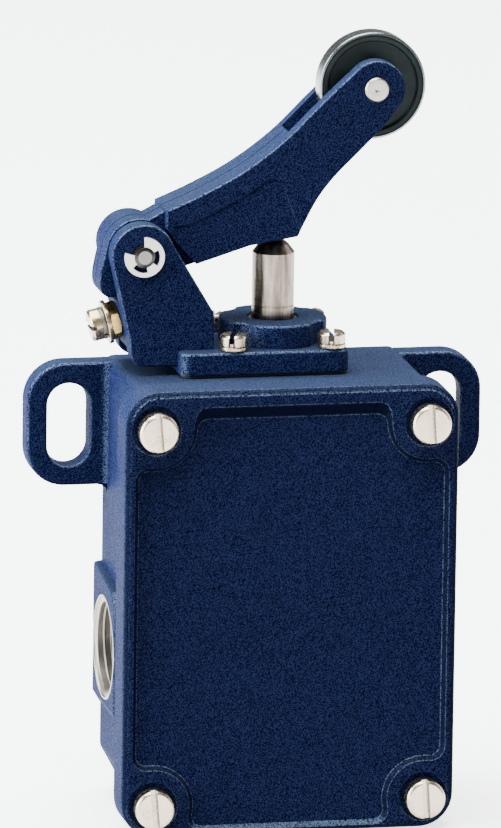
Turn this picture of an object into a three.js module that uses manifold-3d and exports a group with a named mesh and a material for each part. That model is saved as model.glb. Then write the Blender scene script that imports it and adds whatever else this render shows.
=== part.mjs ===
// Limit switch with a roller lever head: a die-cast box with two slotted lugs, a screwed cover, a cable
// entry in the left side, and a head whose lever presses a plunger into the contact block.
// Millimetres. Origin on the mounting face, midway between the lug slots. +X right, +Y into the wall, +Z up.
import * as THREE from 'three';
import { mergeVertices } from 'three/addons/utils/BufferGeometryUtils.js';
import Module from 'manifold-3d';

const wasm = await Module();
wasm.setup();

// Box and cover
const bodyHalf = 30.5;            // half width of the box behind its rim
const bodyTop = 13.3;             // top face, where the head sits
const bodyBottom = -77.5;         // underside, which the switch can stand on
const rimFront = -33.4;           // front of the rim, under the gasket
const rimDepth = 7;
const rimHalf = 32.6;
const cornerCut = { across: 4.9, up: 9 };   // bevels on the two lower corners of the box
const backWall = 4;
const sideWall = 3.2;
const topWall = 3.5;
const coverHalf = 34.3;
const coverTop = 14.7;
const coverBack = -34.1;
const coverFront = -43.4;
const coverCorner = 7;
const coverWall = 3.2;
const postRadius = 5;             // the posts that the cover screws enter
const panelDrop = 1.1;            // how far the panel of the cover lies behind its pads
const screwAcross = 28;           // cover screws, either side of the middle
const screwHigh = 6.8;
const screwLow = -71;
const coverScrew = { headRadius: 4, headHeight: 2.9, shankRadius: 2, length: 16, slotWide: 1.3, turn: 0.09 };
const rimCorner = 5.5;

// Mounting lugs
const lugHalf = 47.3;
const lugTop = 12.9;
const lugBottom = -12.7;
const lugDepth = 5.5;
const lugCorner = 8;
const lugFillet = 1.8;
const slotSpacing = 77.3;
const slotWidth = 8.8;
const slotLength = 17.2;

// Cable entry, threaded M20, in a bush on the left side
const entryY = -11.2;
const entryZ = -45.3;
const entryFace = -32.2;
const entryOuter = 10.9;
const entryBore = 9.1;
const entryNeck = 9.9;            // outside of the bush behind its flange
const entryFlange = 1.6;
const entryDepth = 4.9;
const entryBoss = { above: 15.9, below: 11.4, depth: 22.4 };

// Head: everything on it is drawn from the foot of the plunger's axis, on the top face of the box
const headX = 1.8;
const headY = -13;
const gasketThick = 0.5;
const plateTop = 5.2;
const plateLeft = -21.4;
const plateRight = 13.5;
const plateHalf = 12.8;
const collarTop = 10;
const collarRadius = 11;
const headScrewPitch = 10.1;
const headScrew = { headRadius: 2.9, headHeight: 3.3, shankRadius: 1.6, length: 11 };
const headPad = { half: 14.5, depth: 26, below: 5 };    // thick metal under the head, for its screws
const pivotX = -28.6;
const pivotZ = 24.8;
const pinRadius = 2.3;
const cheekOuter = 9;
const cheekInner = 4.6;
const cheekRadius = 6.5;
const leverHalf = 6.5;
const hubHalf = 4.4;
const forkHalf = 3.3;
const axleX = 19.6;
const axleZ = 57.3;
const axleRadius = 2.5;
const rollerRadius = 11;
const rollerHalf = 2.4;
const leverSwing = 10 * Math.PI / 180;
const plungerRadius = 4.3;
const plungerRim = 23.3;
const plungerApex = 26.35;
const plungerSpring = { radius: 4.7, wire: 0.55, turns: 5, low: -21.8, high: -9.75 };
const stopRing = { inner: 2.7, outer: 6.2, low: -9.5, high: -9 };
const guide = { outer: 6.05, low: 0.8, high: 8.1 };
const wiper = { outer: 4.98, low: 8.4, high: 9.7 };
const adjusterTilt = 13 * Math.PI / 180;
const adjusterSeat = { x: -31.95, z: 10.2 };
const adjusterScrew = { headRadius: 3.25, headHeight: 2.4, shankRadius: 1.95, length: 13, slotWide: 0.9 };
const adjusterBore = 2.05;
const adjusterHead = 3.75;        // the screw head's seat, out from the web

// Contact block, inside the box under the plunger
const blockTop = -22;
const blockBottom = -64;
const blockHalf = 15;
const blockWall = 2.5;
const blockFront = -12;
const blockBack = 8.8;
const contactLevel = { closed: -31, open: -48 };
const terminalX = 18.6;
const terminalScrew = { headRadius: 2.7, headHeight: 2, shankRadius: 1.6, length: 6, slotWide: 0.8 };
const blockScrew = { headRadius: 2.8, headHeight: 2.2, shankRadius: 1.6, length: 8.5, slotWide: 0.8 };
const blockScrewAt = { across: 18, z: -60 };
const earthScrew = { headRadius: 3.2, headHeight: 2.2, shankRadius: 1.6, length: 4.5, slotWide: 0.9 };
const earth = { x: -13, z: -65, radius: 4, height: 6 };
const carrierSpring = { radius: 2.6, wire: 0.4, turns: 6, high: -49.1 };

// Holes
const coverScrewHole = 2.2;
const coverScrewThread = { radius: 2.15, depth: 6.3 };
const headScrewHole = 1.9;
const smallThread = 1.75;

const fit = 0.1;                  // gap between two pieces that bear on each other
const arcSteps = 3;
const paint = new THREE.MeshStandardMaterial({ color: 0x1c2f66, roughness: 0.62, metalness: 0.1 });
const steel = new THREE.MeshStandardMaterial({ color: 0xb9b4ac, roughness: 0.3, metalness: 0.95 });
const nickel = new THREE.MeshStandardMaterial({ color: 0xd8cfc2, roughness: 0.35, metalness: 0.95 });
const brass = new THREE.MeshStandardMaterial({ color: 0xc9a45c, roughness: 0.35, metalness: 0.95 });
const rubber = new THREE.MeshStandardMaterial({ color: 0x141414, roughness: 0.85, metalness: 0 });
const moulding = new THREE.MeshStandardMaterial({ color: 0x20211f, roughness: 0.55, metalness: 0 });
const clear = new THREE.MeshStandardMaterial({ color: 0xa9a189, roughness: 0.3, metalness: 0 });
const rollerSteel = new THREE.MeshStandardMaterial({ color: 0x6b6e6b, roughness: 0.3, metalness: 0.95 });
const spring = new THREE.MeshStandardMaterial({ color: 0x8d8d8d, roughness: 0.4, metalness: 0.95 });

const group = new THREE.Group();
const head = new THREE.Group();
head.position.set(headX, headY, bodyTop);
group.add(head);

// ---- working with solids ----

function solid(geometry) {
  geometry.deleteAttribute('normal');
  geometry.deleteAttribute('uv');
  const merged = mergeVertices(geometry, 1e-4);
  const vertProperties = Float32Array.from(merged.attributes.position.array);
  const corners = [...merged.index.array];
  const at = (index) => new THREE.Vector3().fromArray(vertProperties, 3 * index);
  const triangles = [];
  let volume = 0;
  for (let i = 0; i < corners.length; i += 3) {
    const [a, b, c] = corners.slice(i, i + 3);
    if (a === b || b === c || a === c) continue;
    triangles.push([a, b, c]);
    volume += at(a).dot(at(b).cross(at(c)));
  }
  if (volume < 0) triangles.forEach((triangle) => triangle.reverse());
  const triVerts = Uint32Array.from(triangles.flat());
  return new wasm.Manifold(new wasm.Mesh({ numProp: 3, vertProperties, triVerts }));
}

function geometryOf(shape) {
  const mesh = shape.getMesh();
  const geometry = new THREE.BufferGeometry();
  geometry.setAttribute('position', new THREE.BufferAttribute(Float32Array.from(mesh.vertProperties), 3));
  geometry.setIndex(new THREE.BufferAttribute(Uint32Array.from(mesh.triVerts), 1));
  geometry.computeVertexNormals();
  return geometry;
}

function put(parent, name, shape, material) {
  const mesh = new THREE.Mesh(geometryOf(shape), material);
  mesh.name = name;
  parent.add(mesh);
  return mesh;
}

function join(...shapes) {
  return shapes.reduce((whole, piece) => whole.add(piece));
}

function cut(shape, ...tools) {
  return tools.reduce((whole, tool) => whole.subtract(tool), shape);
}

// ---- outlines and the solids made from them ----

function polygon(points) {
  return new THREE.Shape(points.map(([x, y]) => new THREE.Vector2(x, y)));
}

function roundedBox2d(left, bottom, right, top, radius) {
  const shape = new THREE.Shape();
  shape.moveTo(left + radius, bottom);
  shape.lineTo(right - radius, bottom);
  shape.absarc(right - radius, bottom + radius, radius, -Math.PI / 2, 0);
  shape.lineTo(right, top - radius);
  shape.absarc(right - radius, top - radius, radius, 0, Math.PI / 2);
  shape.lineTo(left + radius, top);
  shape.absarc(left + radius, top - radius, radius, Math.PI / 2, Math.PI);
  shape.lineTo(left, bottom + radius);
  shape.absarc(left + radius, bottom + radius, radius, Math.PI, 1.5 * Math.PI);
  return shape;
}

function slot2d(x, z, width, length) {
  const radius = width / 2;
  const straight = length / 2 - radius;
  const shape = new THREE.Shape();
  shape.moveTo(x + radius, z - straight);
  shape.lineTo(x + radius, z + straight);
  shape.absarc(x, z + straight, radius, 0, Math.PI);
  shape.lineTo(x - radius, z - straight);
  shape.absarc(x, z - straight, radius, Math.PI, 2 * Math.PI);
  return shape;
}

// An outline in X and Z, made solid from yFront back to yBack
function alongY(shape, yFront, yBack) {
  const settings = { depth: yBack - yFront, bevelEnabled: false, curveSegments: arcSteps };
  const geometry = new THREE.ExtrudeGeometry(shape, settings);
  geometry.rotateX(Math.PI / 2);
  geometry.translate(0, yBack, 0);
  return solid(geometry);
}

// An outline in X and Y, made solid from zLow up to zHigh
function alongZ(shape, zLow, zHigh) {
  const settings = { depth: zHigh - zLow, bevelEnabled: false, curveSegments: arcSteps };
  const geometry = new THREE.ExtrudeGeometry(shape, settings);
  geometry.translate(0, 0, zLow);
  return solid(geometry);
}

function box(x0, x1, y0, y1, z0, z1) {
  const geometry = new THREE.BoxGeometry(x1 - x0, y1 - y0, z1 - z0);
  geometry.translate((x0 + x1) / 2, (y0 + y1) / 2, (z0 + z1) / 2);
  return solid(geometry);
}

// Few facets on a thin rod, more on a wide one
function facets(radius) {
  if (radius < 2.3) return 12;
  if (radius < 4.5) return 16;
  return radius < 8 ? 24 : 32;
}

// A closed profile of [radius, height] pairs, turned about an axis through the point "at"
function turned(profile, axis, at) {
  const segments = facets(Math.max(...profile.map(([radius]) => radius)));
  const points = profile.map(([radius, height]) => new THREE.Vector2(radius, height));
  const hollow = profile[0][0] > 0;
  if (hollow) points.push(points[0].clone());
  const geometry = new THREE.LatheGeometry(points, segments);
  if (axis === 'z') geometry.rotateX(Math.PI / 2);
  if (axis === 'x') geometry.rotateZ(-Math.PI / 2);
  geometry.translate(...at);
  return solid(geometry);
}

function rod(radius, low, high, axis, at) {
  return turned([[0, low], [radius, low], [radius, high], [0, high]], axis, at);
}

function ring(inner, outer, low, high, axis, at) {
  return turned([[inner, low], [outer, low], [outer, high], [inner, high]], axis, at);
}

// A slotted screw along an axis: the head's seat is at 0 and the shank runs to minus its length
function slottedScrew({ headRadius, headHeight, shankRadius, length, slotWide = 1, turn = 0 }) {
  const edge = 0.35;
  const profile = [
    [0, -length], [shankRadius, -length], [shankRadius, 0],
    [headRadius, 0], [headRadius, headHeight - edge], [headRadius - edge, headHeight], [0, headHeight],
  ];
  const blank = turned(profile, 'z', [0, 0, 0]);
  const slotDepth = headHeight * 0.45;
  const slot = new THREE.BoxGeometry(slotWide, headRadius * 3, slotDepth * 2);
  slot.rotateZ(turn);
  slot.translate(0, 0, headHeight);
  return cut(blank, solid(slot));
}

// A round-wire compression spring standing on z = low
function coil({ radius, wire, turns, low, high }) {
  const rise = high - low - 2 * wire;
  class Helix extends THREE.Curve {
    getPoint(t, target = new THREE.Vector3()) {
      const angle = t * turns * 2 * Math.PI;
      return target.set(radius * Math.cos(angle), radius * Math.sin(angle), low + wire + t * rise);
    }
  }
  const sides = [0, 1, 2, 3, 4, 5].map((side) => side * Math.PI / 3);
  const section = polygon(sides.map((angle) => [wire * Math.cos(angle), wire * Math.sin(angle)]));
  const settings = { steps: turns * 10, extrudePath: new Helix(), bevelEnabled: false };
  return solid(new THREE.ExtrudeGeometry(section, settings));
}

const bothSides = [-1, 1];
const coverScrewPlaces = [
  [-screwAcross, screwHigh], [screwAcross, screwHigh], [-screwAcross, screwLow], [screwAcross, screwLow],
];
const headScrewPlaces = [[-1, -1], [1, -1], [-1, 1], [1, 1]]
  .map(([x, y]) => [x * headScrewPitch, y * headScrewPitch]);

// ---- the box ----

function lugFillets(side) {
  const radius = lugFillet;
  const front = new THREE.Shape();
  front.moveTo(side * (bodyHalf - 1), -lugDepth + 1);
  front.lineTo(side * (bodyHalf + radius), -lugDepth + 1);
  front.lineTo(side * (bodyHalf + radius), -lugDepth);
  const end = side > 0 ? Math.PI : 0;
  front.absarc(side * (bodyHalf + radius), -lugDepth - radius, radius, Math.PI / 2, end, side < 0);
  front.lineTo(side * (bodyHalf - 1), -lugDepth - radius);
  const under = new THREE.Shape();
  under.moveTo(side * (bodyHalf - 1), lugBottom + 1);
  under.lineTo(side * (bodyHalf + radius), lugBottom + 1);
  under.lineTo(side * (bodyHalf + radius), lugBottom);
  under.absarc(side * (bodyHalf + radius), lugBottom - radius, radius, Math.PI / 2, end, side < 0);
  under.lineTo(side * (bodyHalf - 1), lugBottom - radius);
  return join(alongZ(front, lugBottom, lugTop), alongY(under, -lugDepth, 0));
}

function housing() {
  const { across, up } = cornerCut;
  const outline = new THREE.Shape();
  const topEdge = 1.5;
  outline.moveTo(-bodyHalf, bodyBottom + up);
  outline.lineTo(-bodyHalf + across, bodyBottom);
  outline.lineTo(bodyHalf - across, bodyBottom);
  outline.lineTo(bodyHalf, bodyBottom + up);
  outline.lineTo(bodyHalf, bodyTop - topEdge);
  outline.absarc(bodyHalf - topEdge, bodyTop - topEdge, topEdge, 0, Math.PI / 2);
  outline.lineTo(-bodyHalf + topEdge, bodyTop);
  outline.absarc(-bodyHalf + topEdge, bodyTop - topEdge, topEdge, Math.PI / 2, Math.PI);
  const rim = roundedBox2d(-rimHalf, bodyBottom, rimHalf, bodyTop, rimCorner);
  const lugs = roundedBox2d(-lugHalf, lugBottom, lugHalf, lugTop, lugCorner);
  const bossTop = entryZ + entryBoss.above;
  const bossBottom = entryZ - entryBoss.below;
  const boss = polygon([
    [-bodyHalf + 1, bossTop], [entryFace, bossTop - 0.6], [entryFace, bossBottom],
    [-bodyHalf, bossBottom - 2.6], [-bodyHalf + 1, bossBottom - 2.6],
  ]);
  let shape = join(
    alongY(outline, rimFront, 0),
    alongY(rim, rimFront, rimFront + rimDepth),
    alongY(lugs, -lugDepth, 0),
    alongY(boss, -entryBoss.depth, 0),
    lugFillets(-1),
    lugFillets(1),
  );

  const insideHalf = bodyHalf - sideWall;
  const insideTop = bodyTop - topWall;
  const insideBottom = bodyBottom + 4;
  const room = roundedBox2d(-insideHalf, insideBottom, insideHalf, insideTop, 3);
  let hollow = alongY(room, rimFront - 1, -backWall);
  const { half, depth, below } = headPad;
  hollow = hollow.subtract(box(headX - half, headX + half, -depth, 0, insideTop - below, bodyTop - 1));
  for (const [x, z] of coverScrewPlaces) {
    hollow = hollow.subtract(rod(postRadius, 0, 18, 'y', [x, rimFront, z]));
  }
  const lowerPosts = bothSides.map((side) => polygon([
    [side * insideHalf, bodyBottom + up + 1], [side * insideHalf, insideBottom],
    [side * (insideHalf - across), insideBottom],
  ]));
  for (const post of lowerPosts) hollow = hollow.subtract(alongY(post, rimFront - 1, 0));
  shape = shape.subtract(hollow);

  const earthBoss = rod(earth.radius, 0, earth.height, 'y', [earth.x, -backWall - earth.height, earth.z]);
  shape = join(shape, earthBoss);
  for (const side of bothSides) {
    shape = shape.subtract(alongY(slot2d(side * slotSpacing / 2, 0, slotWidth, slotLength), -9, 1));
    const hole = [headX + side * blockScrewAt.across, -backWall, bodyTop + blockScrewAt.z];
    shape = shape.subtract(rod(smallThread, -1, 3, 'y', hole));
  }
  for (const [x, z] of coverScrewPlaces) {
    const { radius, depth: reach } = coverScrewThread;
    shape = shape.subtract(rod(radius, -1, reach, 'y', [x, rimFront, z]));
  }
  for (const [x, y] of headScrewPlaces) {
    shape = shape.subtract(rod(smallThread, -7, 1, 'z', [headX + x, headY + y, bodyTop]));
  }
  return cut(
    shape,
    rod(4.9, -12, 1, 'z', [headX, headY, bodyTop]),
    rod(smallThread, -1, 5, 'y', [earth.x, -backWall - earth.height, earth.z]),
    rod(entryOuter + fit, -0.5, entryFlange + fit, 'x', [entryFace, entryY, entryZ]),
    rod(entryNeck + 2 * fit, 0, 6, 'x', [entryFace, entryY, entryZ]),
  );
}

// The bare metal bush carries the cable entry's thread
function cableEntryBush() {
  const chamfer = 0.9;
  return turned([
    [entryBore + chamfer, 0], [entryOuter, 0], [entryOuter, entryFlange], [entryNeck, entryFlange],
    [entryNeck, entryDepth], [entryBore, entryDepth], [entryBore, chamfer],
  ], 'x', [entryFace, entryY, entryZ]);
}

// ---- the cover ----

// A shallow tray with sloping walls, less a cone round each screw pad
function panelRecess() {
  const floor = { half: 31.3, high: 8.5, low: -75.4 };
  const slope = 1.2;
  const padReach = 7.4;
  const ahead = 1;
  const reach = slope * (panelDrop + ahead) / panelDrop;
  const height = floor.high - floor.low;
  const geometry = new THREE.BoxGeometry(2 * floor.half, panelDrop + ahead, height);
  const corners = geometry.attributes.position;
  for (let i = 0; i < corners.count; i += 1) {
    if (corners.getY(i) > 0) continue;
    corners.setX(i, corners.getX(i) + Math.sign(corners.getX(i)) * reach);
    corners.setZ(i, corners.getZ(i) + Math.sign(corners.getZ(i)) * reach);
  }
  geometry.translate(0, coverFront + (panelDrop - ahead) / 2, (floor.high + floor.low) / 2);
  const pads = coverScrewPlaces.map(([x, z]) => turned(
    [
      [0, -ahead - 1], [padReach - slope, -ahead], [padReach + slope, panelDrop],
      [padReach + slope, panelDrop + 1], [0, panelDrop + 1],
    ],
    'y', [x, coverFront, z],
  ));
  return cut(solid(geometry), ...pads);
}

function cover() {
  const outline = roundedBox2d(-coverHalf, bodyBottom, coverHalf, coverTop, coverCorner);
  const inside = roundedBox2d(
    -coverHalf + coverWall, bodyBottom + coverWall, coverHalf - coverWall, coverTop - coverWall, 4,
  );
  let hollow = alongY(inside, coverFront + coverWall + panelDrop, coverBack + 1);
  for (const [x, z] of coverScrewPlaces) {
    hollow = hollow.subtract(rod(postRadius + 0.2, -20, 20, 'y', [x, coverBack, z]));
  }
  let shape = cut(alongY(outline, coverFront, coverBack), hollow, panelRecess());
  for (const [x, z] of coverScrewPlaces) {
    shape = shape.subtract(rod(coverScrewHole, -12, 1, 'y', [x, coverBack, z]));
  }
  return shape;
}

function coverGasket() {
  const outer = roundedBox2d(-rimHalf + 0.6, bodyBottom + 0.6, rimHalf - 0.6, bodyTop - 0.6, 5);
  const inner = roundedBox2d(-bodyHalf + 4, bodyBottom + 5, bodyHalf - 4, bodyTop - 4.5, 3);
  let shape = alongY(outer, coverBack + fit, rimFront - fit);
  let window = alongY(inner, coverBack - 1, rimFront + 1);
  for (const [x, z] of coverScrewPlaces) {
    window = window.subtract(rod(4.4, -2, 2, 'y', [x, rimFront, z]));
  }
  shape = shape.subtract(window);
  for (const [x, z] of coverScrewPlaces) {
    shape = shape.subtract(rod(coverScrewHole + fit, -2, 2, 'y', [x, rimFront, z]));
  }
  return shape;
}

// A part drawn about +Z is laid along another direction by these two turns
function facing(shape, axis, at) {
  const turns = { front: [90, 0, 0], left: [0, -90, 0] };
  return shape.rotate(turns[axis]).translate(at);
}

put(group, 'housing', housing(), paint);
put(group, 'cover', cover(), paint);
put(group, 'cover_gasket', coverGasket(), rubber);
put(group, 'cable_entry_bush', cableEntryBush(), nickel);
coverScrewPlaces.forEach(([x, z], index) => {
  const screw = facing(slottedScrew(coverScrew), 'front', [x, coverFront - fit, z]);
  put(group, `cover_screw_${index + 1}`, screw, nickel);
});

// ---- the head ----

function cheekOutline() {
  const right = -13.9;
  const shape = new THREE.Shape();
  shape.moveTo(right, gasketThick + fit);
  shape.lineTo(right, 11.9);
  shape.lineTo(-14.7, 13.6);
  shape.lineTo(-19.7, 22.3);
  const from = Math.atan2(2.2, 6.2);
  shape.absarc(pivotX, pivotZ, cheekRadius, from, Math.PI + 0.26);
  shape.lineTo(-31.4, 8);
  shape.lineTo(-30.5, 5.3);
  shape.absarc(-27.8, 4.7, 2.8, Math.PI, 1.5 * Math.PI);
  shape.lineTo(-21, 1.9);
  shape.lineTo(-19.4, gasketThick + fit);
  return shape;
}

// The web that joins the cheeks leans with the adjusting screw, square to it
function webOutline() {
  const lean = Math.tan(adjusterTilt);
  const faceAt = (z) => adjusterSeat.x - (z - adjusterSeat.z) * lean;
  return polygon([
    [faceAt(14.6), 14.6], [faceAt(14.6) + 5, 14.6], [faceAt(6) + 5, 6], [-13.9, 5.2], [-13.9, 1.9],
    [-27.8, 1.9], [faceAt(5), 5],
  ]);
}

function alongAdjuster(shape) {
  return shape.rotate([0, 90, 0]).rotate([0, -adjusterTilt * 180 / Math.PI, 0])
    .translate([adjusterSeat.x, 0, adjusterSeat.z]);
}

function headBracket() {
  const floor = gasketThick + fit;
  const plate = roundedBox2d(plateLeft, -plateHalf, plateRight, plateHalf, 2.5);
  let collar = rod(collarRadius, plateTop - 0.5, collarTop, 'z', [0, 0, 0]);
  for (const [x, y] of headScrewPlaces) {
    collar = collar.subtract(rod(4.3, 0, 20, 'z', [x, y, 0]));
  }
  let shape = join(
    alongZ(plate, floor, plateTop),
    collar,
    alongY(cheekOutline(), -cheekOuter, -cheekInner),
    alongY(cheekOutline(), cheekInner, cheekOuter),
    alongY(webOutline(), -cheekInner - 0.5, cheekInner + 0.5),
  );
  for (const [x, y] of headScrewPlaces) {
    shape = shape.subtract(rod(headScrewHole, -1, 8, 'z', [x, y, 0]));
  }
  return cut(
    shape,
    rod(5.1, 5, 12, 'z', [0, 0, 0]),
    rod(6.2, -1, 8.3, 'z', [0, 0, 0]),
    rod(pinRadius + 0.12, -12, 12, 'y', [pivotX, 0, pivotZ]),
    alongAdjuster(rod(2.2, -3, 9, 'z', [0, 0, 0])),
  );
}

function headGasket() {
  const outline = roundedBox2d(plateLeft + 0.5, -plateHalf + 0.5, plateRight - 0.5, plateHalf - 0.5, 2);
  let shape = alongZ(outline, fit, gasketThick);
  for (const [x, y] of headScrewPlaces) {
    shape = shape.subtract(rod(headScrewHole, -1, 2, 'z', [x, y, 0]));
  }
  return shape.subtract(rod(6.4, -1, 2, 'z', [0, 0, 0]));
}

function plunger() {
  const cap = plungerApex - plungerRim;
  const bulge = (plungerRadius ** 2 + cap ** 2) / (2 * cap);
  const dome = [];
  for (let step = 0; step < 5; step += 1) {
    const angle = Math.asin(plungerRadius / bulge) * (1 - step / 5);
    dome.push([bulge * Math.sin(angle), plungerApex - bulge + bulge * Math.cos(angle)]);
  }
  return turned([
    [0, -20], [2.6, -20], [3, -19.6], [3, -9.6], [2.6, -9.6], [2.6, -8.9], [plungerRadius, -8.9],
    ...dome, [0, plungerApex],
  ], 'z', [0, 0, 0]);
}

// The lever's outline seen from the front, from the neck by the cheeks round the fork's rounded end
function leverOutline() {
  const end = 5.9;
  const shape = new THREE.Shape();
  shape.moveTo(-23.5, 33.5);
  shape.lineTo(-23.5, 28);
  shape.lineTo(-19.4, 21.6);
  shape.lineTo(-6.2, 25.8);
  shape.lineTo(3.7, 27.4);
  shape.lineTo(5, 30);
  shape.lineTo(7.6, 35.2);
  shape.lineTo(10.7, 39.1);
  shape.lineTo(21.3, 49.7);
  shape.lineTo(24.2, 53.6);
  shape.absarc(axleX, axleZ, end, -0.67, 2.27);
  shape.lineTo(8.3, 54.6);
  shape.lineTo(0.4, 46.8);
  shape.lineTo(-7.8, 40.8);
  shape.lineTo(-16.1, 36.5);
  return shape;
}

// The narrow root of the lever: its hub, the neck and the heel that hangs outside the web
function leverRoot() {
  const shape = new THREE.Shape();
  shape.moveTo(-19, 21.7);
  shape.lineTo(-19, 35.3);
  shape.lineTo(-23.5, 33.4);
  shape.absarc(pivotX, pivotZ, 6.9, 1.3, Math.PI - 0.1);
  shape.quadraticCurveTo(-36.4, 21.8, -36.8, 18.6);
  shape.quadraticCurveTo(-36.8, 16.2, -35, 15.5);
  shape.lineTo(-33.8, 15.5);
  shape.lineTo(-31.3, 18.6);
  shape.absarc(pivotX, pivotZ, 6.7, -1.98, -1.2);
  return shape;
}

// The room that a cheek sweeps, seen from the lever as it swings
function cheekSweep() {
  const turn = leverSwing + 0.035;
  const points = [[6.2, 2.2], [8.9, -2.5], [13.9, -11.2]].map(([x, z]) => [
    pivotX + x * Math.cos(turn) - z * Math.sin(turn) + 0.45,
    pivotZ + x * Math.sin(turn) + z * Math.cos(turn),
  ]);
  return polygon([...points, [pivotX, pivotZ - 20], [pivotX - 12, pivotZ], [pivotX, pivotZ + 5.5]]);
}

function lever() {
  const hubRoom = rod(cheekRadius + 0.7, -10, 10, 'y', [pivotX, 0, pivotZ]);
  const between = box(-60, 20, -hubHalf, hubHalf, 0, 60);
  const cheekRoom = join(hubRoom, alongY(cheekSweep(), -10, 10)).subtract(between);
  const wide = alongY(leverOutline(), -leverHalf, leverHalf).subtract(cheekRoom);
  const alongArm = Math.atan2(axleZ - pivotZ, axleX - pivotX);
  const fork = box(0, 40, -forkHalf, forkHalf, -30, 30)
    .rotate([0, -alongArm * 180 / Math.PI, 0]).translate([2, 0, 48.6]);
  return cut(
    join(wide, alongY(leverRoot(), -hubHalf, hubHalf)),
    fork,
    rod(pinRadius + 0.12, -12, 12, 'y', [pivotX, 0, pivotZ]),
    rod(axleRadius + fit, -12, 12, 'y', [axleX, 0, axleZ]),
  );
}

function roller() {
  const bore = axleRadius + 0.15;
  return turned([
    [bore, -rollerHalf], [4.2, -rollerHalf], [4.2, -1.6], [9.3, -1.6], [9.3, -rollerHalf],
    [rollerRadius - 0.3, -rollerHalf], [rollerRadius, -rollerHalf + 0.3], [rollerRadius, rollerHalf - 0.3],
    [rollerRadius - 0.3, rollerHalf], [9.3, rollerHalf], [9.3, 1.6], [4.2, 1.6], [4.2, rollerHalf],
    [bore, rollerHalf],
  ], 'y', [axleX, 0, axleZ]);
}

function pivotPin() {
  return turned([
    [0, -10.2], [pinRadius - 0.3, -10.2], [pinRadius, -9.9], [1.7, -9.9], [1.7, -9.2], [pinRadius, -9.2],
    [pinRadius, 9.1], [3.6, 9.1], [3.6, 10.4], [3.2, 10.8], [0, 10.8],
  ], 'y', [pivotX, 0, pivotZ]);
}

// The open retaining ring in the pin's groove: a band with a mouth that faces up and to the left
function pivotClip() {
  const band = ring(1.8, 4.15, -9.85, -9.25, 'y', [0, 0, 0]);
  const mouth = box(0, 6, -12, 0, -1.5, 1.5).rotate([0, 215, 0]);
  return band.subtract(mouth).translate([pivotX, 0, pivotZ]);
}

function adjustingScrew() {
  return alongAdjuster(slottedScrew(adjusterScrew).rotate([180, 0, 0]).translate([0, 0, -adjusterHead]));
}

function lockNut() {
  const acrossCorners = 8.1;
  const hexagon = new THREE.Shape();
  for (let corner = 0; corner < 6; corner += 1) {
    const angle = corner * Math.PI / 3;
    const point = [acrossCorners / 2 * Math.cos(angle), acrossCorners / 2 * Math.sin(angle)];
    if (corner === 0) hexagon.moveTo(...point);
    else hexagon.lineTo(...point);
  }
  const hole = rod(adjusterBore, -5, 5, 'z', [0, 0, 0]);
  return alongAdjuster(alongZ(hexagon, -2, -fit).subtract(hole));
}

put(head, 'head_bracket', headBracket(), paint);
put(head, 'head_gasket', headGasket(), rubber);
headScrewPlaces.forEach(([x, y], index) => {
  const screw = slottedScrew({ ...headScrew, turn: 0.9 + index * 0.2 });
  put(head, `head_screw_${index + 1}`, screw.translate([x, y, plateTop + fit]), nickel);
});
const plungerFit = plungerRadius + 0.12;
put(head, 'guide_bush', ring(plungerFit, guide.outer, guide.low, guide.high, 'z', [0, 0, 0]), brass);
put(head, 'wiper_seal', ring(plungerFit, wiper.outer, wiper.low, wiper.high, 'z', [0, 0, 0]), rubber);
put(head, 'plunger', plunger(), steel);
const { inner, outer, low, high } = stopRing;
put(head, 'plunger_stop_ring', ring(inner, outer, low, high, 'z', [0, 0, 0]), steel);
put(head, 'plunger_spring', coil(plungerSpring), spring);
put(head, 'pivot_pin', pivotPin(), nickel);
put(head, 'pivot_clip', pivotClip(), nickel);
put(head, 'adjusting_screw', adjustingScrew(), nickel);
const springWasher = ring(adjusterBore, 3.3, -3.7, -3.05, 'z', [0, 0, 0]);
put(head, 'adjuster_spring_washer', alongAdjuster(springWasher), steel);
put(head, 'adjuster_washer', alongAdjuster(ring(adjusterBore, 4.5, -2.95, -2.1, 'z', [0, 0, 0])), nickel);
put(head, 'adjuster_lock_nut', lockNut(), brass);
put(head, 'lever', lever(), paint);
put(head, 'roller', roller(), rollerSteel);
put(head, 'roller_axle', turned([
  [0, -6.8], [axleRadius - 0.3, -6.8], [axleRadius, -6.5],
  [axleRadius, 6.5], [axleRadius - 0.3, 6.8], [0, 6.8],
], 'y', [axleX, 0, axleZ]), nickel);
bothSides.forEach((side, index) => {
  const shape = ring(axleRadius + 0.15, 4.2, -0.3, 0.3, 'y', [axleX, side * 2.85, axleZ]);
  put(head, `roller_washer_${index + 1}`, shape, steel);
});

// ---- the contact block ----

function blockBase() {
  let shape = box(-blockHalf, blockHalf, blockFront + 2.4, blockBack, blockBottom, blockTop);
  for (const side of bothSides) {
    const ear = [side * (blockHalf - 1), side * (blockHalf + 6)].sort((a, b) => a - b);
    shape = shape.add(box(...ear, 3, blockBack, blockBottom + 1, blockBottom + 8));
    shape = shape.subtract(rod(smallThread, 0, 12, 'y', [side * blockScrewAt.across, 0, blockScrewAt.z]));
  }
  const room = box(
    -blockHalf + blockWall, blockHalf - blockWall, blockFront, blockBack - blockWall,
    blockBottom + blockWall, blockTop - blockWall,
  );
  shape = shape.subtract(room).subtract(rod(3.6, blockTop - 5, blockTop + 1, 'z', [0, 0, 0]));
  for (const level of Object.values(contactLevel)) {
    shape = shape.subtract(box(-20, 20, -3.2, 3.2, level - 0.1, level + 1.1));
  }
  return shape;
}

// The sliding carrier: a stem through the block's roof and two windows for the contact bridges
function contactCarrier() {
  const stem = rod(2.9, -27.5, -20.3, 'z', [0, 0, 0]);
  const body = box(-4, 4, -5, 5, -49, -27);
  return cut(
    join(stem, body),
    box(-5, 5, -2.6, 2.6, -34, -31.1),
    box(-5, 5, -2.6, 2.6, -43.2, -40.4),
  );
}

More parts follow.
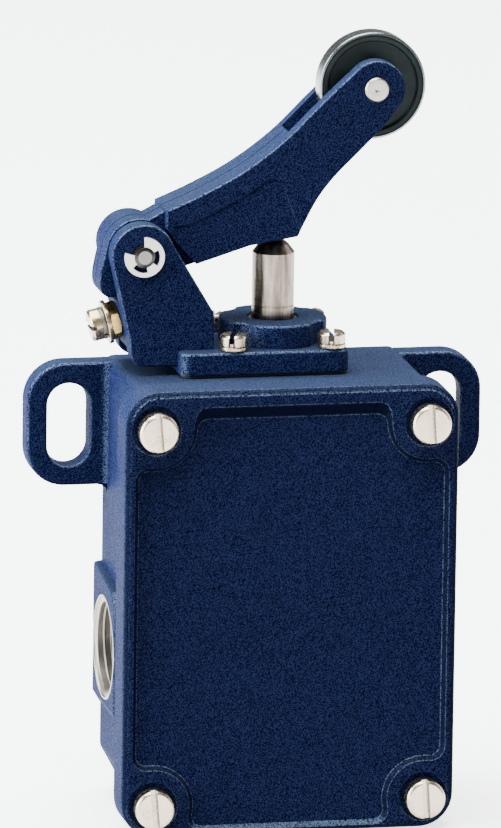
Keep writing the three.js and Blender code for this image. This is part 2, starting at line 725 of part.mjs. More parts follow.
function bridge(low) {
  const bar = box(-10, 10, -2.2, 2.2, low, low + 0.8);
  const rivets = bothSides.map((side) => rod(1.5, -0.25, 1.05, 'z', [side * 8.4, 0, low]));
  return join(bar, ...rivets);
}

function fixedContact(side, level) {
  const span = (inner, outer) => [side * inner, side * outer].sort((a, b) => a - b);
  const bar = box(...span(6.8, terminalX - 2.4), -3, 3, level, level + 1);
  const plate = box(...span(terminalX - 2.9, terminalX + 3.1), -6, -5, level - 3, level + 3);
  const elbow = box(...span(terminalX - 2.9, terminalX - 1.9), -5.5, -2, level, level + 1);
  const hole = rod(smallThread, -10, 0, 'y', [side * terminalX, 0, level]);
  return join(bar, elbow, plate).subtract(hole);
}

put(head, 'block_base', blockBase(), moulding);
const lid = box(-blockHalf, blockHalf, blockFront, blockFront + 2.3, blockBottom, blockTop);
put(head, 'block_cover', lid, clear);
put(head, 'contact_carrier', contactCarrier(), moulding);
const springSeat = blockBottom + blockWall + fit;
put(head, 'carrier_spring', coil({ ...carrierSpring, low: springSeat }), spring);
put(head, 'bridge_closed', bridge(contactLevel.closed - 1.25), brass);
put(head, 'bridge_open', bridge(contactLevel.open + 6.55), brass);
for (const [name, level] of Object.entries(contactLevel)) {
  bothSides.forEach((side, index) => {
    const place = ['left', 'right'][index];
    put(head, `contact_${name}_${place}`, fixedContact(side, level), brass);
    const at = [side * terminalX, -6 - fit, level];
    put(head, `terminal_screw_${name}_${place}`, facing(slottedScrew(terminalScrew), 'front', at), nickel);
  });
}
bothSides.forEach((side, index) => {
  const at = [side * blockScrewAt.across, 3 - fit, blockScrewAt.z];
  put(head, `block_screw_${index + 1}`, facing(slottedScrew(blockScrew), 'front', at), nickel);
});
const earthAt = [earth.x, -backWall - earth.height - fit, earth.z];
put(group, 'earth_screw', facing(slottedScrew(earthScrew), 'front', earthAt), brass);

export default group;
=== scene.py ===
import math
import bmesh
import bpy
from mathutils import Matrix, Vector


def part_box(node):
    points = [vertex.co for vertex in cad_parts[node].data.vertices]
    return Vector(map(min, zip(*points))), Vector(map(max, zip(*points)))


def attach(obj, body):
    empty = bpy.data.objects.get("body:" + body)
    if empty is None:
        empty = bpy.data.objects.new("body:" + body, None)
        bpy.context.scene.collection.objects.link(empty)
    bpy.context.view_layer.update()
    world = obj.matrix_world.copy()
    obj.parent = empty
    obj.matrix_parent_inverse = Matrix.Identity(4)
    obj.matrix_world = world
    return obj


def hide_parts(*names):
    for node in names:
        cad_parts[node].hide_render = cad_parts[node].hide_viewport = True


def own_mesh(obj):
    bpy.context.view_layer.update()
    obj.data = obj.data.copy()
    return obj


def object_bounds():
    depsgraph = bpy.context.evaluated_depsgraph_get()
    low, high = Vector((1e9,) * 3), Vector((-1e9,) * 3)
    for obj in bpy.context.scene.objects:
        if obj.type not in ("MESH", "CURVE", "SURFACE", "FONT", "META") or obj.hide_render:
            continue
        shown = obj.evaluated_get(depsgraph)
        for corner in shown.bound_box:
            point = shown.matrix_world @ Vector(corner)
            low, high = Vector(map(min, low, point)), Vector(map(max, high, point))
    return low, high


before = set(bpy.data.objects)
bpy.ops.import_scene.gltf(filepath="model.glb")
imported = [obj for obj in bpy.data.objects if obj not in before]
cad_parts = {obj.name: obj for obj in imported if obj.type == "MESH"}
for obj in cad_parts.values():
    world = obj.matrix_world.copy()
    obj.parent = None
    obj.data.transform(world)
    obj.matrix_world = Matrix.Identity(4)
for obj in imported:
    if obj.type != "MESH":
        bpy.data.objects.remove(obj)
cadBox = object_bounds()
mm = 0.001

# the camera looks from the left and a little above, through a long lens
camera = {"left": 12.0, "above": 12.7, "roll": 0.8, "distance": 2.5, "heightSeen": 0.168,
          "aim": Vector((-0.0037, -0.0187, 0.0041))}


def newObject(name, data):
    made = bpy.data.objects.new(name, data)
    bpy.context.scene.collection.objects.link(made)
    return made


def placeCamera(values):
    left, above, roll = (math.radians(values[key]) for key in ("left", "above", "roll"))
    ahead = Vector((math.sin(left) * math.cos(above), math.cos(left) * math.cos(above), -math.sin(above)))
    right = Vector((math.cos(left), -math.sin(left), 0))
    up = right.cross(ahead)
    tilted = right * math.cos(roll) + up * math.sin(roll)
    upright = up * math.cos(roll) - right * math.sin(roll)
    data = bpy.data.cameras.new("camera")
    data.sensor_width = 36
    data.lens = data.sensor_width * values["distance"] / values["heightSeen"]
    data.clip_end = 20
    eye = newObject("camera", data)
    turn = Matrix((tilted, upright, -ahead)).transposed()
    eye.matrix_world = Matrix.Translation(values["aim"] - ahead * values["distance"]) @ turn.to_4x4()
    bpy.context.scene.camera = eye


placeCamera(camera)
print("camera placed")

# outlines


def roundCorners(corners, steps=6):
    # each corner is (across, up, radius), in order round a closed outline
    points = []
    for index, (across, up, radius) in enumerate(corners):
        here = Vector((across, up))
        before = Vector(corners[index - 1][:2])
        after = Vector(corners[(index + 1) % len(corners)][:2])
        if radius == 0:
            points.append(here)
            continue
        toBefore, toAfter = (before - here).normalized(), (after - here).normalized()
        half = toBefore.angle(toAfter) / 2
        centre = here + (toBefore + toAfter).normalized() * radius / math.sin(half)
        start = here + toBefore * radius / math.tan(half) - centre
        end = here + toAfter * radius / math.tan(half) - centre
        sweep = math.atan2(start.cross(end), start.dot(end))
        for step in range(steps + 1):
            points.append(centre + Matrix.Rotation(sweep * step / steps, 2) @ start)
    return points


def arc(centre, radius, start, end, steps):
    points = []
    for step in range(steps + 1):
        angle = math.radians(start + (end - start) * step / steps)
        points.append(Vector((centre[0] + radius * math.cos(angle), centre[1] + radius * math.sin(angle))))
    return points


def roundedBox(left, low, right, high, radius, steps=10):
    return roundCorners([(left, low, radius), (right, low, radius), (right, high, radius),
                         (left, high, radius)], steps)


def slotOutline(across, up, width, length):
    half = width / 2
    rise = length / 2 - half
    return arc((across, up + rise), half, 0, 180, 20) + arc((across, up - rise), half, 180, 360, 20)


def area(loop):
    return sum(a.cross(b) for a, b in zip(loop, loop[1:] + loop[:1])) / 2


def inset(loop, distance):
    # moves a counter-clockwise outline inwards, or outwards where distance is below 0
    moved = []
    for index, here in enumerate(loop):
        along = (here - loop[index - 1]).normalized()
        onward = (loop[(index + 1) % len(loop)] - here).normalized()
        first, second = Vector((-along.y, along.x)), Vector((-onward.y, onward.x))
        moved.append(here + (first + second) * distance / (1 + first.dot(second)))
    return moved


# meshes

planes = {
    "y": lambda a, b, c: (a, c, b),
    "z": lambda a, b, c: (a, b, c),
    "x": lambda a, b, c: (c, a, b),
}


def newPiece(name, shell):
    bmesh.ops.remove_doubles(shell, verts=shell.verts, dist=1e-7)
    bmesh.ops.recalc_face_normals(shell, faces=shell.faces)
    mesh = bpy.data.meshes.new(name)
    shell.to_mesh(mesh)
    shell.free()
    return newObject(name, mesh)


def loft(name, outline, rings, plane):
    # rings are (place along the plane's axis, inset) from one closed end to the other
    loop = [Vector(point) for point in outline]
    loop = [point for index, point in enumerate(loop) if (point - loop[index - 1]).length > 1e-4]
    if area(loop) < 0:
        loop.reverse()
    shell = bmesh.new()
    rows = []
    for along, depth in rings:
        rows.append([shell.verts.new(Vector(planes[plane](p.x, p.y, along)) * mm)
                     for p in inset(loop, depth)])
    count = len(loop)
    for low, high in zip(rows, rows[1:]):
        for i in range(count):
            j = (i + 1) % count
            shell.faces.new((low[i], low[j], high[j], high[i]))
    shell.faces.new(rows[0])
    shell.faces.new(rows[-1])
    return newPiece(name, shell)


def edgeRings(place, radius, side, steps=4):
    # a rounded rim that ends at place, on the low (-1) or high (1) side
    rings = []
    for step in range(steps + 1):
        angle = math.pi / 2 * step / steps
        rings.append((place - side * radius * (1 - math.sin(angle)), radius * (1 - math.cos(angle))))
    return rings if side > 0 else rings[::-1]


def slab(name, outline, low, high, plane, lowEdge=0.0, highEdge=0.0, steps=4):
    rings = edgeRings(low, lowEdge, -1, steps) if lowEdge else [(low, 0)]
    rings += edgeRings(high, highEdge, 1, steps) if highEdge else [(high, 0)]
    return loft(name, outline, rings, plane)


def pit(outline, floor, mouth, plane, flare=0.5, beyond=1.0, steps=4):
    # a cutter from its floor out through a face at mouth, where it widens to leave a rounded edge
    side = 1 if mouth > floor else -1
    rings = [(floor, 0)]
    for step in range(steps + 1):
        angle = math.pi / 2 * step / steps
        rings.append((mouth - side * flare * (1 - math.sin(angle)), -flare * (1 - math.cos(angle))))
    rings.append((mouth + side * beyond, -flare))
    return loft("cutter", outline, rings, plane)


def through(outline, low, high, plane, flare=0.5, beyond=1.0, steps=4):
    # a cutter right through a wall, widened at both faces
    rings = [(low - beyond, -flare)]
    for step in range(steps + 1):
        angle = math.pi / 2 * (1 - step / steps)
        rings.append((low + flare * (1 - math.sin(angle)), -flare * (1 - math.cos(angle))))
    for step in range(steps + 1):
        angle = math.pi / 2 * step / steps
        rings.append((high - flare * (1 - math.sin(angle)), -flare * (1 - math.cos(angle))))
    rings.append((high + beyond, -flare))
    return loft("cutter", outline, rings, plane)


def turned(name, corners, centre, axis, segments=64, steps=4):
    # corners are (radius, place along the axis, rounding); an outline that reaches radius 0 closes there
    shell = bmesh.new()
    turn = Vector((0, 0, 1)).rotation_difference(Vector(axis))
    rows = []
    for radius, along in roundCorners(corners, steps):
        count = segments if radius > 1e-5 else 1
        row = []
        for k in range(count):
            angle = 2 * math.pi * k / segments
            spot = turn @ Vector((radius * math.cos(angle), radius * math.sin(angle), along))
            row.append(shell.verts.new((spot + Vector(centre)) * mm))
        rows.append(row)
    for index, low in enumerate(rows):
        high = rows[(index + 1) % len(rows)]
        if len(low) == 1 and len(high) == 1:
            continue
        for k in range(segments):
            ring = [low[k % len(low)], low[(k + 1) % len(low)], high[(k + 1) % len(high)],
                    high[k % len(high)]]
            shell.faces.new(list(dict.fromkeys(ring)))
    return newPiece(name, shell)


def bar(name, radius, low, high, centre, axis, segments=24):
    return turned(name, [(0, low, 0), (radius, low, 0), (radius, high, 0), (0, high, 0)], centre, axis,
                  segments)


def flatRing(name, inner, outer, along, rounding, centre, axis, segments):
    # along is its low and high face; rounding is that of its bore's edges, then of its outer edges
    (low, high), (boreEdge, outerEdge) = along, rounding
    return turned(name, [(inner, low, boreEdge), (outer, low, outerEdge), (outer, high, outerEdge),
                         (inner, high, boreEdge)], centre, axis, segments)


def drill(mouth, axis, radius, depth, segments=24):
    return bar("drill", radius, -2, depth, mouth, axis, segments)


def settle(piece):
    # turns what the modifiers show into the piece's own mesh
    shown = piece.evaluated_get(bpy.context.evaluated_depsgraph_get())
    mesh = bpy.data.meshes.new_from_object(shown)
    old = piece.data
    piece.modifiers.clear()
    piece.data = mesh
    bpy.data.meshes.remove(old)
    return piece


def combine(piece, others, operation):
    for other in others:
        modifier = piece.modifiers.new(operation.lower(), "BOOLEAN")
        modifier.operation = operation
        modifier.solver = "EXACT"
        modifier.object = other
    settle(piece)
    for other in others:
        mesh = other.data
        bpy.data.objects.remove(other)
        bpy.data.meshes.remove(mesh)
    return piece


def join(piece, *others):
    return combine(piece, others, "UNION")


def cut(piece, *others):
    return combine(piece, others, "DIFFERENCE")


def softenEdges(piece, width, segments=2, angle=40):
    modifier = piece.modifiers.new("soften", "BEVEL")
    modifier.width = width * mm
    modifier.segments = segments
    modifier.limit_method = "ANGLE"
    modifier.angle_limit = math.radians(angle)
    modifier.use_clamp_overlap = True
    return settle(piece)


def hand(piece, body, slot, nodes, materials, sharp=35):
    # gives a finished mesh its shading, materials, body and the CAD nodes that it stands for
    mesh = piece.data
    mesh.materials.clear()
    for material in materials:
        mesh.materials.append(material)
    for polygon in mesh.polygons:
        polygon.use_smooth = True
    mesh.set_sharp_from_angle(angle=math.radians(sharp))
    modifier = piece.modifiers.new("normals", "WEIGHTED_NORMAL")
    modifier.keep_sharp = True
    settle(piece)
    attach(piece, body)
    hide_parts(*nodes)
    return piece


# materials


class Nodes:
    # short calls for building a material's node tree
    def __init__(self, name):
        self.material = bpy.data.materials.new(name)
        self.material.use_nodes = True
        self.tree = self.material.node_tree
        self.shader = self.tree.nodes["Principled BSDF"]
        coordinates = self.add("ShaderNodeTexCoord")
        self.place, self.normal = coordinates.outputs["Object"], coordinates.outputs["Normal"]

    def add(self, kind, **settings):
        node = self.tree.nodes.new(kind)
        for key, value in settings.items():
            setattr(node, key, value)
        return node

    def link(self, source, target):
        self.tree.links.new(source, target)

    def stretched(self, scale, turn=(0, 0, 0)):
        node = self.add("ShaderNodeMapping")
        node.inputs["Scale"].default_value = scale
        node.inputs["Rotation"].default_value = turn
        self.link(self.place, node.inputs["Vector"])
        return node.outputs["Vector"]

    def noise(self, scale, detail=3.0, roughness=0.6, place=None):
        node = self.add("ShaderNodeTexNoise")
        node.inputs["Scale"].default_value = scale
        node.inputs["Detail"].default_value = detail
        node.inputs["Roughness"].default_value = roughness
        self.link(place or self.place, node.inputs["Vector"])
        return node.outputs["Fac"]

    def attribute(self, name):
        return self.add("ShaderNodeAttribute", attribute_name=name).outputs["Fac"]

    def parts(self, vector):
        node = self.add("ShaderNodeSeparateXYZ")
        self.link(vector, node.inputs[0])
        return node.outputs

    def ramp(self, source, low, high, first=0.0, last=1.0):
        node = self.add("ShaderNodeMapRange")
        for label, value in zip(("From Min", "From Max", "To Min", "To Max"), (low, high, first, last)):
            node.inputs[label].default_value = value
        self.link(source, node.inputs["Value"])
        return node.outputs["Result"]

    def math(self, operation, first, second):
        node = self.add("ShaderNodeMath", operation=operation)
        for socket, value in zip(node.inputs, (first, second)):
            if isinstance(value, (int, float)):
                socket.default_value = value
            else:
                self.link(value, socket)
        return node.outputs["Value"]

    def blend(self, factor, first, second):
        node = self.add("ShaderNodeMix", data_type="RGBA")
        self.link(factor, node.inputs["Factor"])
        for socket, value in zip((node.inputs["A"], node.inputs["B"]), (first, second)):
            if isinstance(value, tuple):
                socket.default_value = (*value, 1)
            else:
                self.link(value, socket)
        return node.outputs["Result"]

    def bump(self, height, strength, distance, normal=None):
        node = self.add("ShaderNodeBump")
        node.inputs["Strength"].default_value = strength
        node.inputs["Distance"].default_value = distance * mm
        self.link(height, node.inputs["Height"])
        if normal:
            self.link(normal, node.inputs["Normal"])
        return node.outputs["Normal"]

    def softNormal(self, radius):
        node = self.add("ShaderNodeBevel", samples=4)
        node.inputs["Radius"].default_value = radius * mm
        return node.outputs["Normal"]

    def set(self, **values):
        for label, value in values.items():
            socket = self.shader.inputs[label.replace("_", " ")]
            if isinstance(value, tuple):
                socket.default_value = (*value, 1) if len(value) == 3 else value
            elif isinstance(value, (int, float)):
                socket.default_value = value
            else:
                self.link(value, socket)
        return self.material


def texturedPaint():
    # navy stoving paint with a coarse wrinkled grain and pale flecks, with painted light: a painted sheen on
    # faces that look up, painted highlights on rounded edges that face up or to the left, and painted
    # highlight lines and painted shade where the cover's "light" attribute says
    paint = Nodes("texturedPaint")
    # slanted, so that no flat face lies in the noise's own planes
    slanted = paint.stretched((1, 1, 1), (0.55, 0.7, 0.4))
    grain = paint.noise(3500, 2.0, 0.65, slanted)
    patches = paint.noise(90, 3.0, 0.6)
    dots = paint.noise(4200, 1.0, 0.5, slanted)
    across, ahead, above = paint.parts(paint.normal)
    deep = paint.blend(paint.ramp(patches, 0.3, 0.7), (0.0002, 0.0006, 0.0065), (0.0006, 0.0014, 0.0115))
    speckled = paint.blend(paint.ramp(grain, 0.41, 0.62), deep, (0.0250, 0.0370, 0.1260))
    flecked = paint.blend(paint.ramp(dots, 0.69, 0.77), speckled, (0.040, 0.062, 0.130))
    # painted sheen: faces that look up are lightened towards pale slate as if by the light from above, broken
    # up by the grain
    paintedTopSheen = paint.math("MULTIPLY", paint.ramp(above, 0.35, 0.95, 0, 0.75),
                      paint.ramp(grain, 0.36, 0.60, 0.25, 1))
    topSheenPaint = paint.blend(paintedTopSheen, flecked, (0.026, 0.036, 0.058))
    # painted highlights on the rounded edges between the front or back and the sides, on faces that look up
    # or to the left towards the lamps
    ahead = paint.math("ABSOLUTE", ahead, 0)
    rounded = paint.math("MULTIPLY", paint.ramp(ahead, 0.25, 0.5), paint.ramp(ahead, 0.97, 0.86))
    paintedLitSides = paint.math("MAXIMUM", paint.ramp(above, 0.1, 0.5), paint.ramp(across, -0.25, -0.6, 0, 0.6))
    # edge is the mask of these painted edge highlights
    edge = paint.math("MULTIPLY", rounded, paintedLitSides)
    # the cover's "light" attribute: from 0.3 up it is a painted highlight, from -0.2 down painted shade
    paintedLightAndShade = paint.attribute("light")
    paintedHighlight = paint.math("MAXIMUM", paint.math("MULTIPLY", edge, 0.55), paint.ramp(paintedLightAndShade, 0.30, 0.9))
    paintedHighlight = paint.math("MULTIPLY", paintedHighlight, paint.ramp(grain, 0.42, 0.60))
    # painted highlights lighten the paint towards pale slate
    highlightedPaint = paint.blend(paintedHighlight, topSheenPaint, (0.170, 0.225, 0.340))
    # painted shade darkens the wall of the cover's recess towards near black
    colour = paint.blend(paint.ramp(paintedLightAndShade, -0.2, -1.0, 0, 0.85), highlightedPaint, (0.0008, 0.0014, 0.0110))
    normal = paint.bump(grain, 0.55, 0.20)
    return paint.set(Base_Color=colour, Roughness=paint.ramp(grain, 0.3, 0.7, 0.66, 0.46), Normal=normal,
                     IOR=1.06)


def platedSteel(name, colour, roughness, stain=0.35, metallic=1.0):
    # bright plating with faint handling marks, a fine machined grain and painted shade where the "slot"
    # attribute is set: in the screw slots and round the pivot pin's end
    metal = Nodes(name)
    grain = metal.noise(1400, 4.0, 0.7)
    clouds = metal.noise(260, 3.0, 0.6)
    spots = metal.math("MULTIPLY", metal.ramp(clouds, 0.52, 0.72, 0, stain), metal.ramp(grain, 0.4, 0.6))
    dull = tuple(part * 0.42 for part in colour)
    tone = metal.blend(spots, colour, dull)
    # painted shade: faces marked by the "slot" attribute are darkened to near black
    withPaintedShade = metal.blend(metal.attribute("slot"), tone, (0.018, 0.015, 0.012))
    normal = metal.bump(grain, 0.12, 0.03, metal.softNormal(0.12))
    return metal.set(Base_Color=withPaintedShade, Metallic=metallic, Normal=normal,
                     Roughness=metal.ramp(grain, 0.3, 0.7, roughness * 0.8, roughness * 1.3))


def groundSteel():
    # ground plunger steel with fine marks round its axis and a warm stain, with painted reflections: dark and
    # light bands that run along its axis
    metal = Nodes("groundSteel")
    rings = metal.noise(1.0, 4.0, 0.7, metal.stretched((150, 150, 9000)))
    # painted reflections: long dark and light bands along the plunger's axis
    paintedReflectionBands = metal.noise(1.0, 3.0, 0.6, metal.stretched((700, 700, 60)))
    grain = metal.noise(1600, 3.0, 0.6)
    tone = metal.blend(metal.ramp(paintedReflectionBands, 0.38, 0.66), (0.085, 0.064, 0.050), (0.30, 0.25, 0.21))
    worn = metal.blend(metal.ramp(grain, 0.5, 0.75, 0, 0.45), tone, (0.12, 0.095, 0.08))
    normal = metal.bump(rings, 0.08, 0.03)
    return metal.set(Base_Color=worn, Metallic=1.0, Roughness=metal.ramp(rings, 0.3, 0.7, 0.24, 0.38),
                     Normal=normal)


def rubberSkin():
    skin = Nodes("rubberSkin")
    grain = skin.noise(1800, 3.0, 0.6)
    tone = skin.blend(grain, (0.010, 0.010, 0.010), (0.026, 0.026, 0.027))
    return skin.set(Base_Color=tone, Roughness=skin.ramp(grain, 0.3, 0.7, 0.7, 0.9),
                    Normal=skin.bump(grain, 0.2, 0.05))


def mouldedPlastic(name, low, high, roughness):
    # a moulding with a fine spark-eroded texture and slight flow marks
    plastic = Nodes(name)
    grain = plastic.noise(2400, 3.0, 0.6)
    flow = plastic.noise(1.0, 2.0, 0.5, plastic.stretched((60, 60, 240)))
    tone = plastic.blend(flow, low, high)
    return plastic.set(Base_Color=tone,
                       Roughness=plastic.ramp(grain, 0.3, 0.7, roughness, roughness + 0.15),
                       Normal=plastic.bump(grain, 0.15, 0.04))


def rollerFace():
    # oil-blackened steel with a faint green cast
    face = Nodes("rollerFace")
    grain = face.noise(1500, 4.0, 0.65)
    clouds = face.noise(220, 3.0, 0.6)
    tone = face.blend(face.ramp(clouds, 0.35, 0.7), (0.0040, 0.0075, 0.0080), (0.0120, 0.0185, 0.0195))
    return face.set(Base_Color=tone, Metallic=0.0, Specular_IOR_Level=0.14,
                    Roughness=face.ramp(grain, 0.3, 0.7, 0.4, 0.6),
                    Normal=face.bump(grain, 0.15, 0.04, face.softNormal(0.15)))


paint = texturedPaint()
nickel = platedSteel("nickelPlate", (0.50, 0.40, 0.305), 0.25, 0.8)
brightSteel = platedSteel("brightSteel", (0.62, 0.60, 0.58), 0.28, 0.5)
pinSteel = platedSteel("pinSteel", (0.15, 0.145, 0.14), 0.33, 0.8)
axleSteel = platedSteel("axleSteel", (0.36, 0.325, 0.30), 0.32, 0.6)
entryMetal = platedSteel("entryMetal", (0.27, 0.235, 0.21), 0.36, 0.7)
# near-black steel, used as painted shade inside the cable entry's bore and on its thread
paintedBoreShade = platedSteel("paintedBoreShade", (0.010, 0.012, 0.010), 0.6, 0.6, 0.15)
springWire = platedSteel("springWire", (0.42, 0.42, 0.43), 0.32, 0.5)
brass = platedSteel("brassSheet", (0.50, 0.34, 0.12), 0.28, 0.5)
warmPlate = platedSteel("warmPlate", (0.42, 0.32, 0.20), 0.26, 0.8)
darkSteel = platedSteel("darkSteel", (0.16, 0.155, 0.15), 0.38, 0.4)
clipSteel = platedSteel("clipSteel", (0.42, 0.41, 0.39), 0.30, 0.35)
tread = platedSteel("treadSteel", (0.17, 0.18, 0.18), 0.24, 0.5)
polished = groundSteel()
rubber = rubberSkin()
darkPlastic = mouldedPlastic("darkPlastic", (0.018, 0.018, 0.017), (0.030, 0.030, 0.028), 0.45)
tanPlastic = mouldedPlastic("tanPlastic", (0.30, 0.24, 0.14), (0.36, 0.29, 0.18), 0.32)
blackened = rollerFace()
print("materials made")

# stage and lights

stage = {"floorHalf": 8.0, "floorTone": 0.92, "floorGlow": 2.2, "worldStrength": 0.35}


def makeFloor(values):
    half, level = values["floorHalf"], cadBox[0].z - 0.0002
    mesh = bpy.data.meshes.new("floor")
    mesh.from_pydata([(-half, -half, level), (half, -half, level), (half, half, level),
                      (-half, half, level)], [],
                     [(0, 1, 2, 3)])
    floor = newObject("floor", mesh)
    white = bpy.data.materials.new("floorWhite")
    white.use_nodes = True
    shader = white.node_tree.nodes["Principled BSDF"]
    shader.inputs["Base Color"].default_value = (values["floorTone"],) * 3 + (1,)
    shader.inputs["Roughness"].default_value = 0.9
    shader.inputs["Specular IOR Level"].default_value = 0.1
    shader.inputs["Emission Color"].default_value = (1, 1, 1, 1)
    shader.inputs["Emission Strength"].default_value = values["floorGlow"]
    mesh.materials.append(white)
    floor.visible_diffuse = False
    world = bpy.data.worlds.new("studio")
    world.use_nodes = True
    world.node_tree.nodes["Background"].inputs["Color"].default_value = (0.93, 0.96, 1.0, 1)
    world.node_tree.nodes["Background"].inputs["Strength"].default_value = values["worldStrength"]
    bpy.context.scene.world = world


def softbox(name, place, aim, width, height, power, tint=(1, 1, 1)):
    data = bpy.data.lights.new(name, "AREA")
    data.color = tint
    data.shape = "RECTANGLE"
    data.size, data.size_y, data.energy = width, height, power
    light = newObject(name, data)
    light.location = place
    light.rotation_mode = "QUATERNION"
    light.rotation_quaternion = (Vector(aim) - Vector(place)).to_track_quat("-Z", "Y")


# each softbox has its place, aim, width, height, power and tint
softboxes = {
    "overhead": ((-0.2, 0.15, 1.5), (0, 0.05, 0), 1.8, 1.4, 145, (0.94, 1.0, 1.0)),
    "left": ((-1.35, -0.02, 0.35), (0, 0, 0), 1.0, 1.3, 82, (0.86, 1.0, 1.0)),
    "right": ((1.4, 0.25, 0.5), (0, 0, 0), 0.6, 1.2, 8),
    "front": ((0.5, -1.9, 0.7), (0, 0, 0), 1.4, 1.0, 2),
}
makeFloor(stage)
for name, values in softboxes.items():
    softbox(name, *values)
print("stage lit")

# places taken from the frame, in millimetres


def span(node):
    low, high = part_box(node)
    return low / mm, high / mm


boxLow, boxHigh = span("housing")
coverLow, coverHigh = span("cover")
plungerLow, plungerHigh = span("plunger")
pinLow, pinHigh = span("pivot_pin")
rollerLow, rollerHigh = span("roller")
entryLow = span("cable_entry_bush")[0]
head = Vector(((plungerLow.x + plungerHigh.x) / 2, (plungerLow.y + plungerHigh.y) / 2, boxHigh.z))
pivot = (pinLow + pinHigh) / 2
axle = (rollerLow + rollerHigh) / 2
front, backward, right = (0, -1, 0), (0, 1, 0), (1, 0, 0)
upward, downward = (0, 0, 1), (0, 0, -1)
sides = (-1, 1)


def middle(node):
    low, high = span(node)
    return (low + high) / 2


def shifted(corners):
    # an outline drawn from the foot of the plunger's axis, moved to its place in the frame's X and Z
    return [(corner[0] + head.x, corner[1] + head.z, *corner[2:]) for corner in corners]


def circle(across, up, radius, steps=48):
    return arc((across, up), radius, 0, 360 - 360 / steps, steps - 1)


# housing

housing = {"half": 30.5, "rimHalf": 32.6, "rimDepth": 7, "rimCorner": 5.5, "bevelAcross": 4.9, "bevelUp": 9,
           "lugHalf": 47.3, "lugTop": 12.9, "lugBottom": -12.7, "lugDepth": 5.5, "lugCorner": 8,
           "fillet": 1.8,
           "slotAcross": 38.65, "slotWidth": 8.8, "slotLength": 17.2,
           "bossTop": -29.4, "bossBottom": -56.7, "bossReach": 22.4, "bossDrop": 3.0, "bossCorner": 5,
           "wall": 3.2, "backWall": 4, "topWall": 3.5, "postRadius": 5, "postReach": 18, "padHalf": 14.5,
           "padReach": 26.2, "coverHole": (2.15, 6.3), "headHole": (1.75, 7), "plungerHole": (4.9, 12),
           "entrySeat": (11.0, 1.7), "entryHole": (10.1, 6)}    # each hole is its radius and depth


def filletBar(side, fromSide, level, radius, low, high, plane):
    # fills the corner between the box's side and a lug face that lies at level
    corner = (side * (fromSide + radius), level - radius)
    start, end = (90, 180) if side > 0 else (90, 0)
    points = [Vector((side * (fromSide - 1), level + 1)), Vector((side * (fromSide + radius), level + 1))]
    points += arc(corner, radius, start, end, 8)
    points.append(Vector((side * (fromSide - 1), level - radius)))
    return slab("fillet", points, low, high, plane)


def makeBoss(values):
    top, bottom, reach = values["bossTop"], values["bossBottom"], values["bossReach"]
    outer, inner = entryLow.x, -values["half"] + 2
    profile = [(inner, top, 0), (outer, top - 0.6, 0.7), (outer, bottom, 0.8),
               (-values["half"] - 0.2, bottom - 2.6, 0.5),
               (inner, bottom - 2.6, 0)]
    side = [(-0.2, bottom - 4, 0), (-reach, bottom - 4, 0),
            (-reach, top - values["bossDrop"], values["bossCorner"]),
            (-0.2, top, 0)]
    boss = slab("boss", roundCorners(profile), -reach - 1, -0.2, "y")
    return combine(boss, [slab("bossSide", roundCorners(side, 10), outer, inner + 1, "x", 0.5)],
                   "INTERSECT")


def makeHousing(values):
    half, bottom, top, rimFront = values["half"], boxLow.z, boxHigh.z, boxLow.y
    across, up = values["bevelAcross"], values["bevelUp"]
    outline = roundCorners([(-half, bottom + up, 3), (across - half, bottom + 0.03, 2),
                            (half - across, bottom + 0.03, 2),
                            (half, bottom + up, 3), (half, top - 0.03, 2), (-half, top - 0.03, 2)])
    shell = slab("housing", outline, rimFront + 0.5, boxHigh.y, "y", 0, 0.5)
    rim = roundedBox(-values["rimHalf"], bottom, values["rimHalf"], top, values["rimCorner"], 14)
    lugs = roundedBox(-values["lugHalf"], values["lugBottom"], values["lugHalf"], values["lugTop"],
                      values["lugCorner"], 16)
    depth = values["lugDepth"]
    bars = []
    for side in sides:
        bars.append(filletBar(side, half, -depth, values["fillet"], values["lugBottom"] + 0.4,
                              values["lugTop"] - 0.4, "z"))
        bars.append(filletBar(side, half, values["lugBottom"], values["fillet"], 0.4 - depth, -0.3, "y"))
    join(shell, slab("rim", rim, rimFront, rimFront + values["rimDepth"], "y", 0.4, 1.2),
         slab("lugs", lugs, -depth, -0.02, "y", 0.8, 0.4), makeBoss(values), *bars)

    room = roundedBox(values["wall"] - half, bottom + 4, half - values["wall"], top - values["topWall"], 3)
    hollow = slab("hollow", room, rimFront - 1, -values["backWall"], "y")
    posts = [bar("post", values["postRadius"], -2, values["postReach"], (x, rimFront, z), backward, 32)
             for x, z in coverScrewSeats]
    under = roundedBox(head.x - values["padHalf"], -values["padReach"], head.x + values["padHalf"], 0, 1)
    pad = slab("pad", under, top - values["topWall"] - 5, top - 1, "z")
    corners = [slab("corner", roundCorners([(side * (half + 1), bottom, 0), (side * (half - 9), bottom, 0),
                                            (side * (half + 1), bottom + up + 4, 0)]), rimFront - 2, 0, "y")
               for side in sides]
    cut(hollow, *posts, pad, *corners)

    holes = [through(slotOutline(side * values["slotAcross"], 0, values["slotWidth"], values["slotLength"]),
                     -depth, 0, "y", 0.7) for side in sides]
    holes += [drill((x, rimFront, z), backward, *values["coverHole"]) for x, z in coverScrewSeats]
    holes += [drill((x, y, top), downward, *values["headHole"]) for x, y in headScrewSeats]
    holes.append(drill((head.x, head.y, top), downward, *values["plungerHole"]))
    entry = (entryLow.x, middle("cable_entry_bush").y, middle("cable_entry_bush").z)
    holes += [drill(entry, right, *values[key], 64) for key in ("entrySeat", "entryHole")]
    cut(shell, hollow, *holes)
    return hand(shell, "body", "navy_paint", ["housing"], [paint])


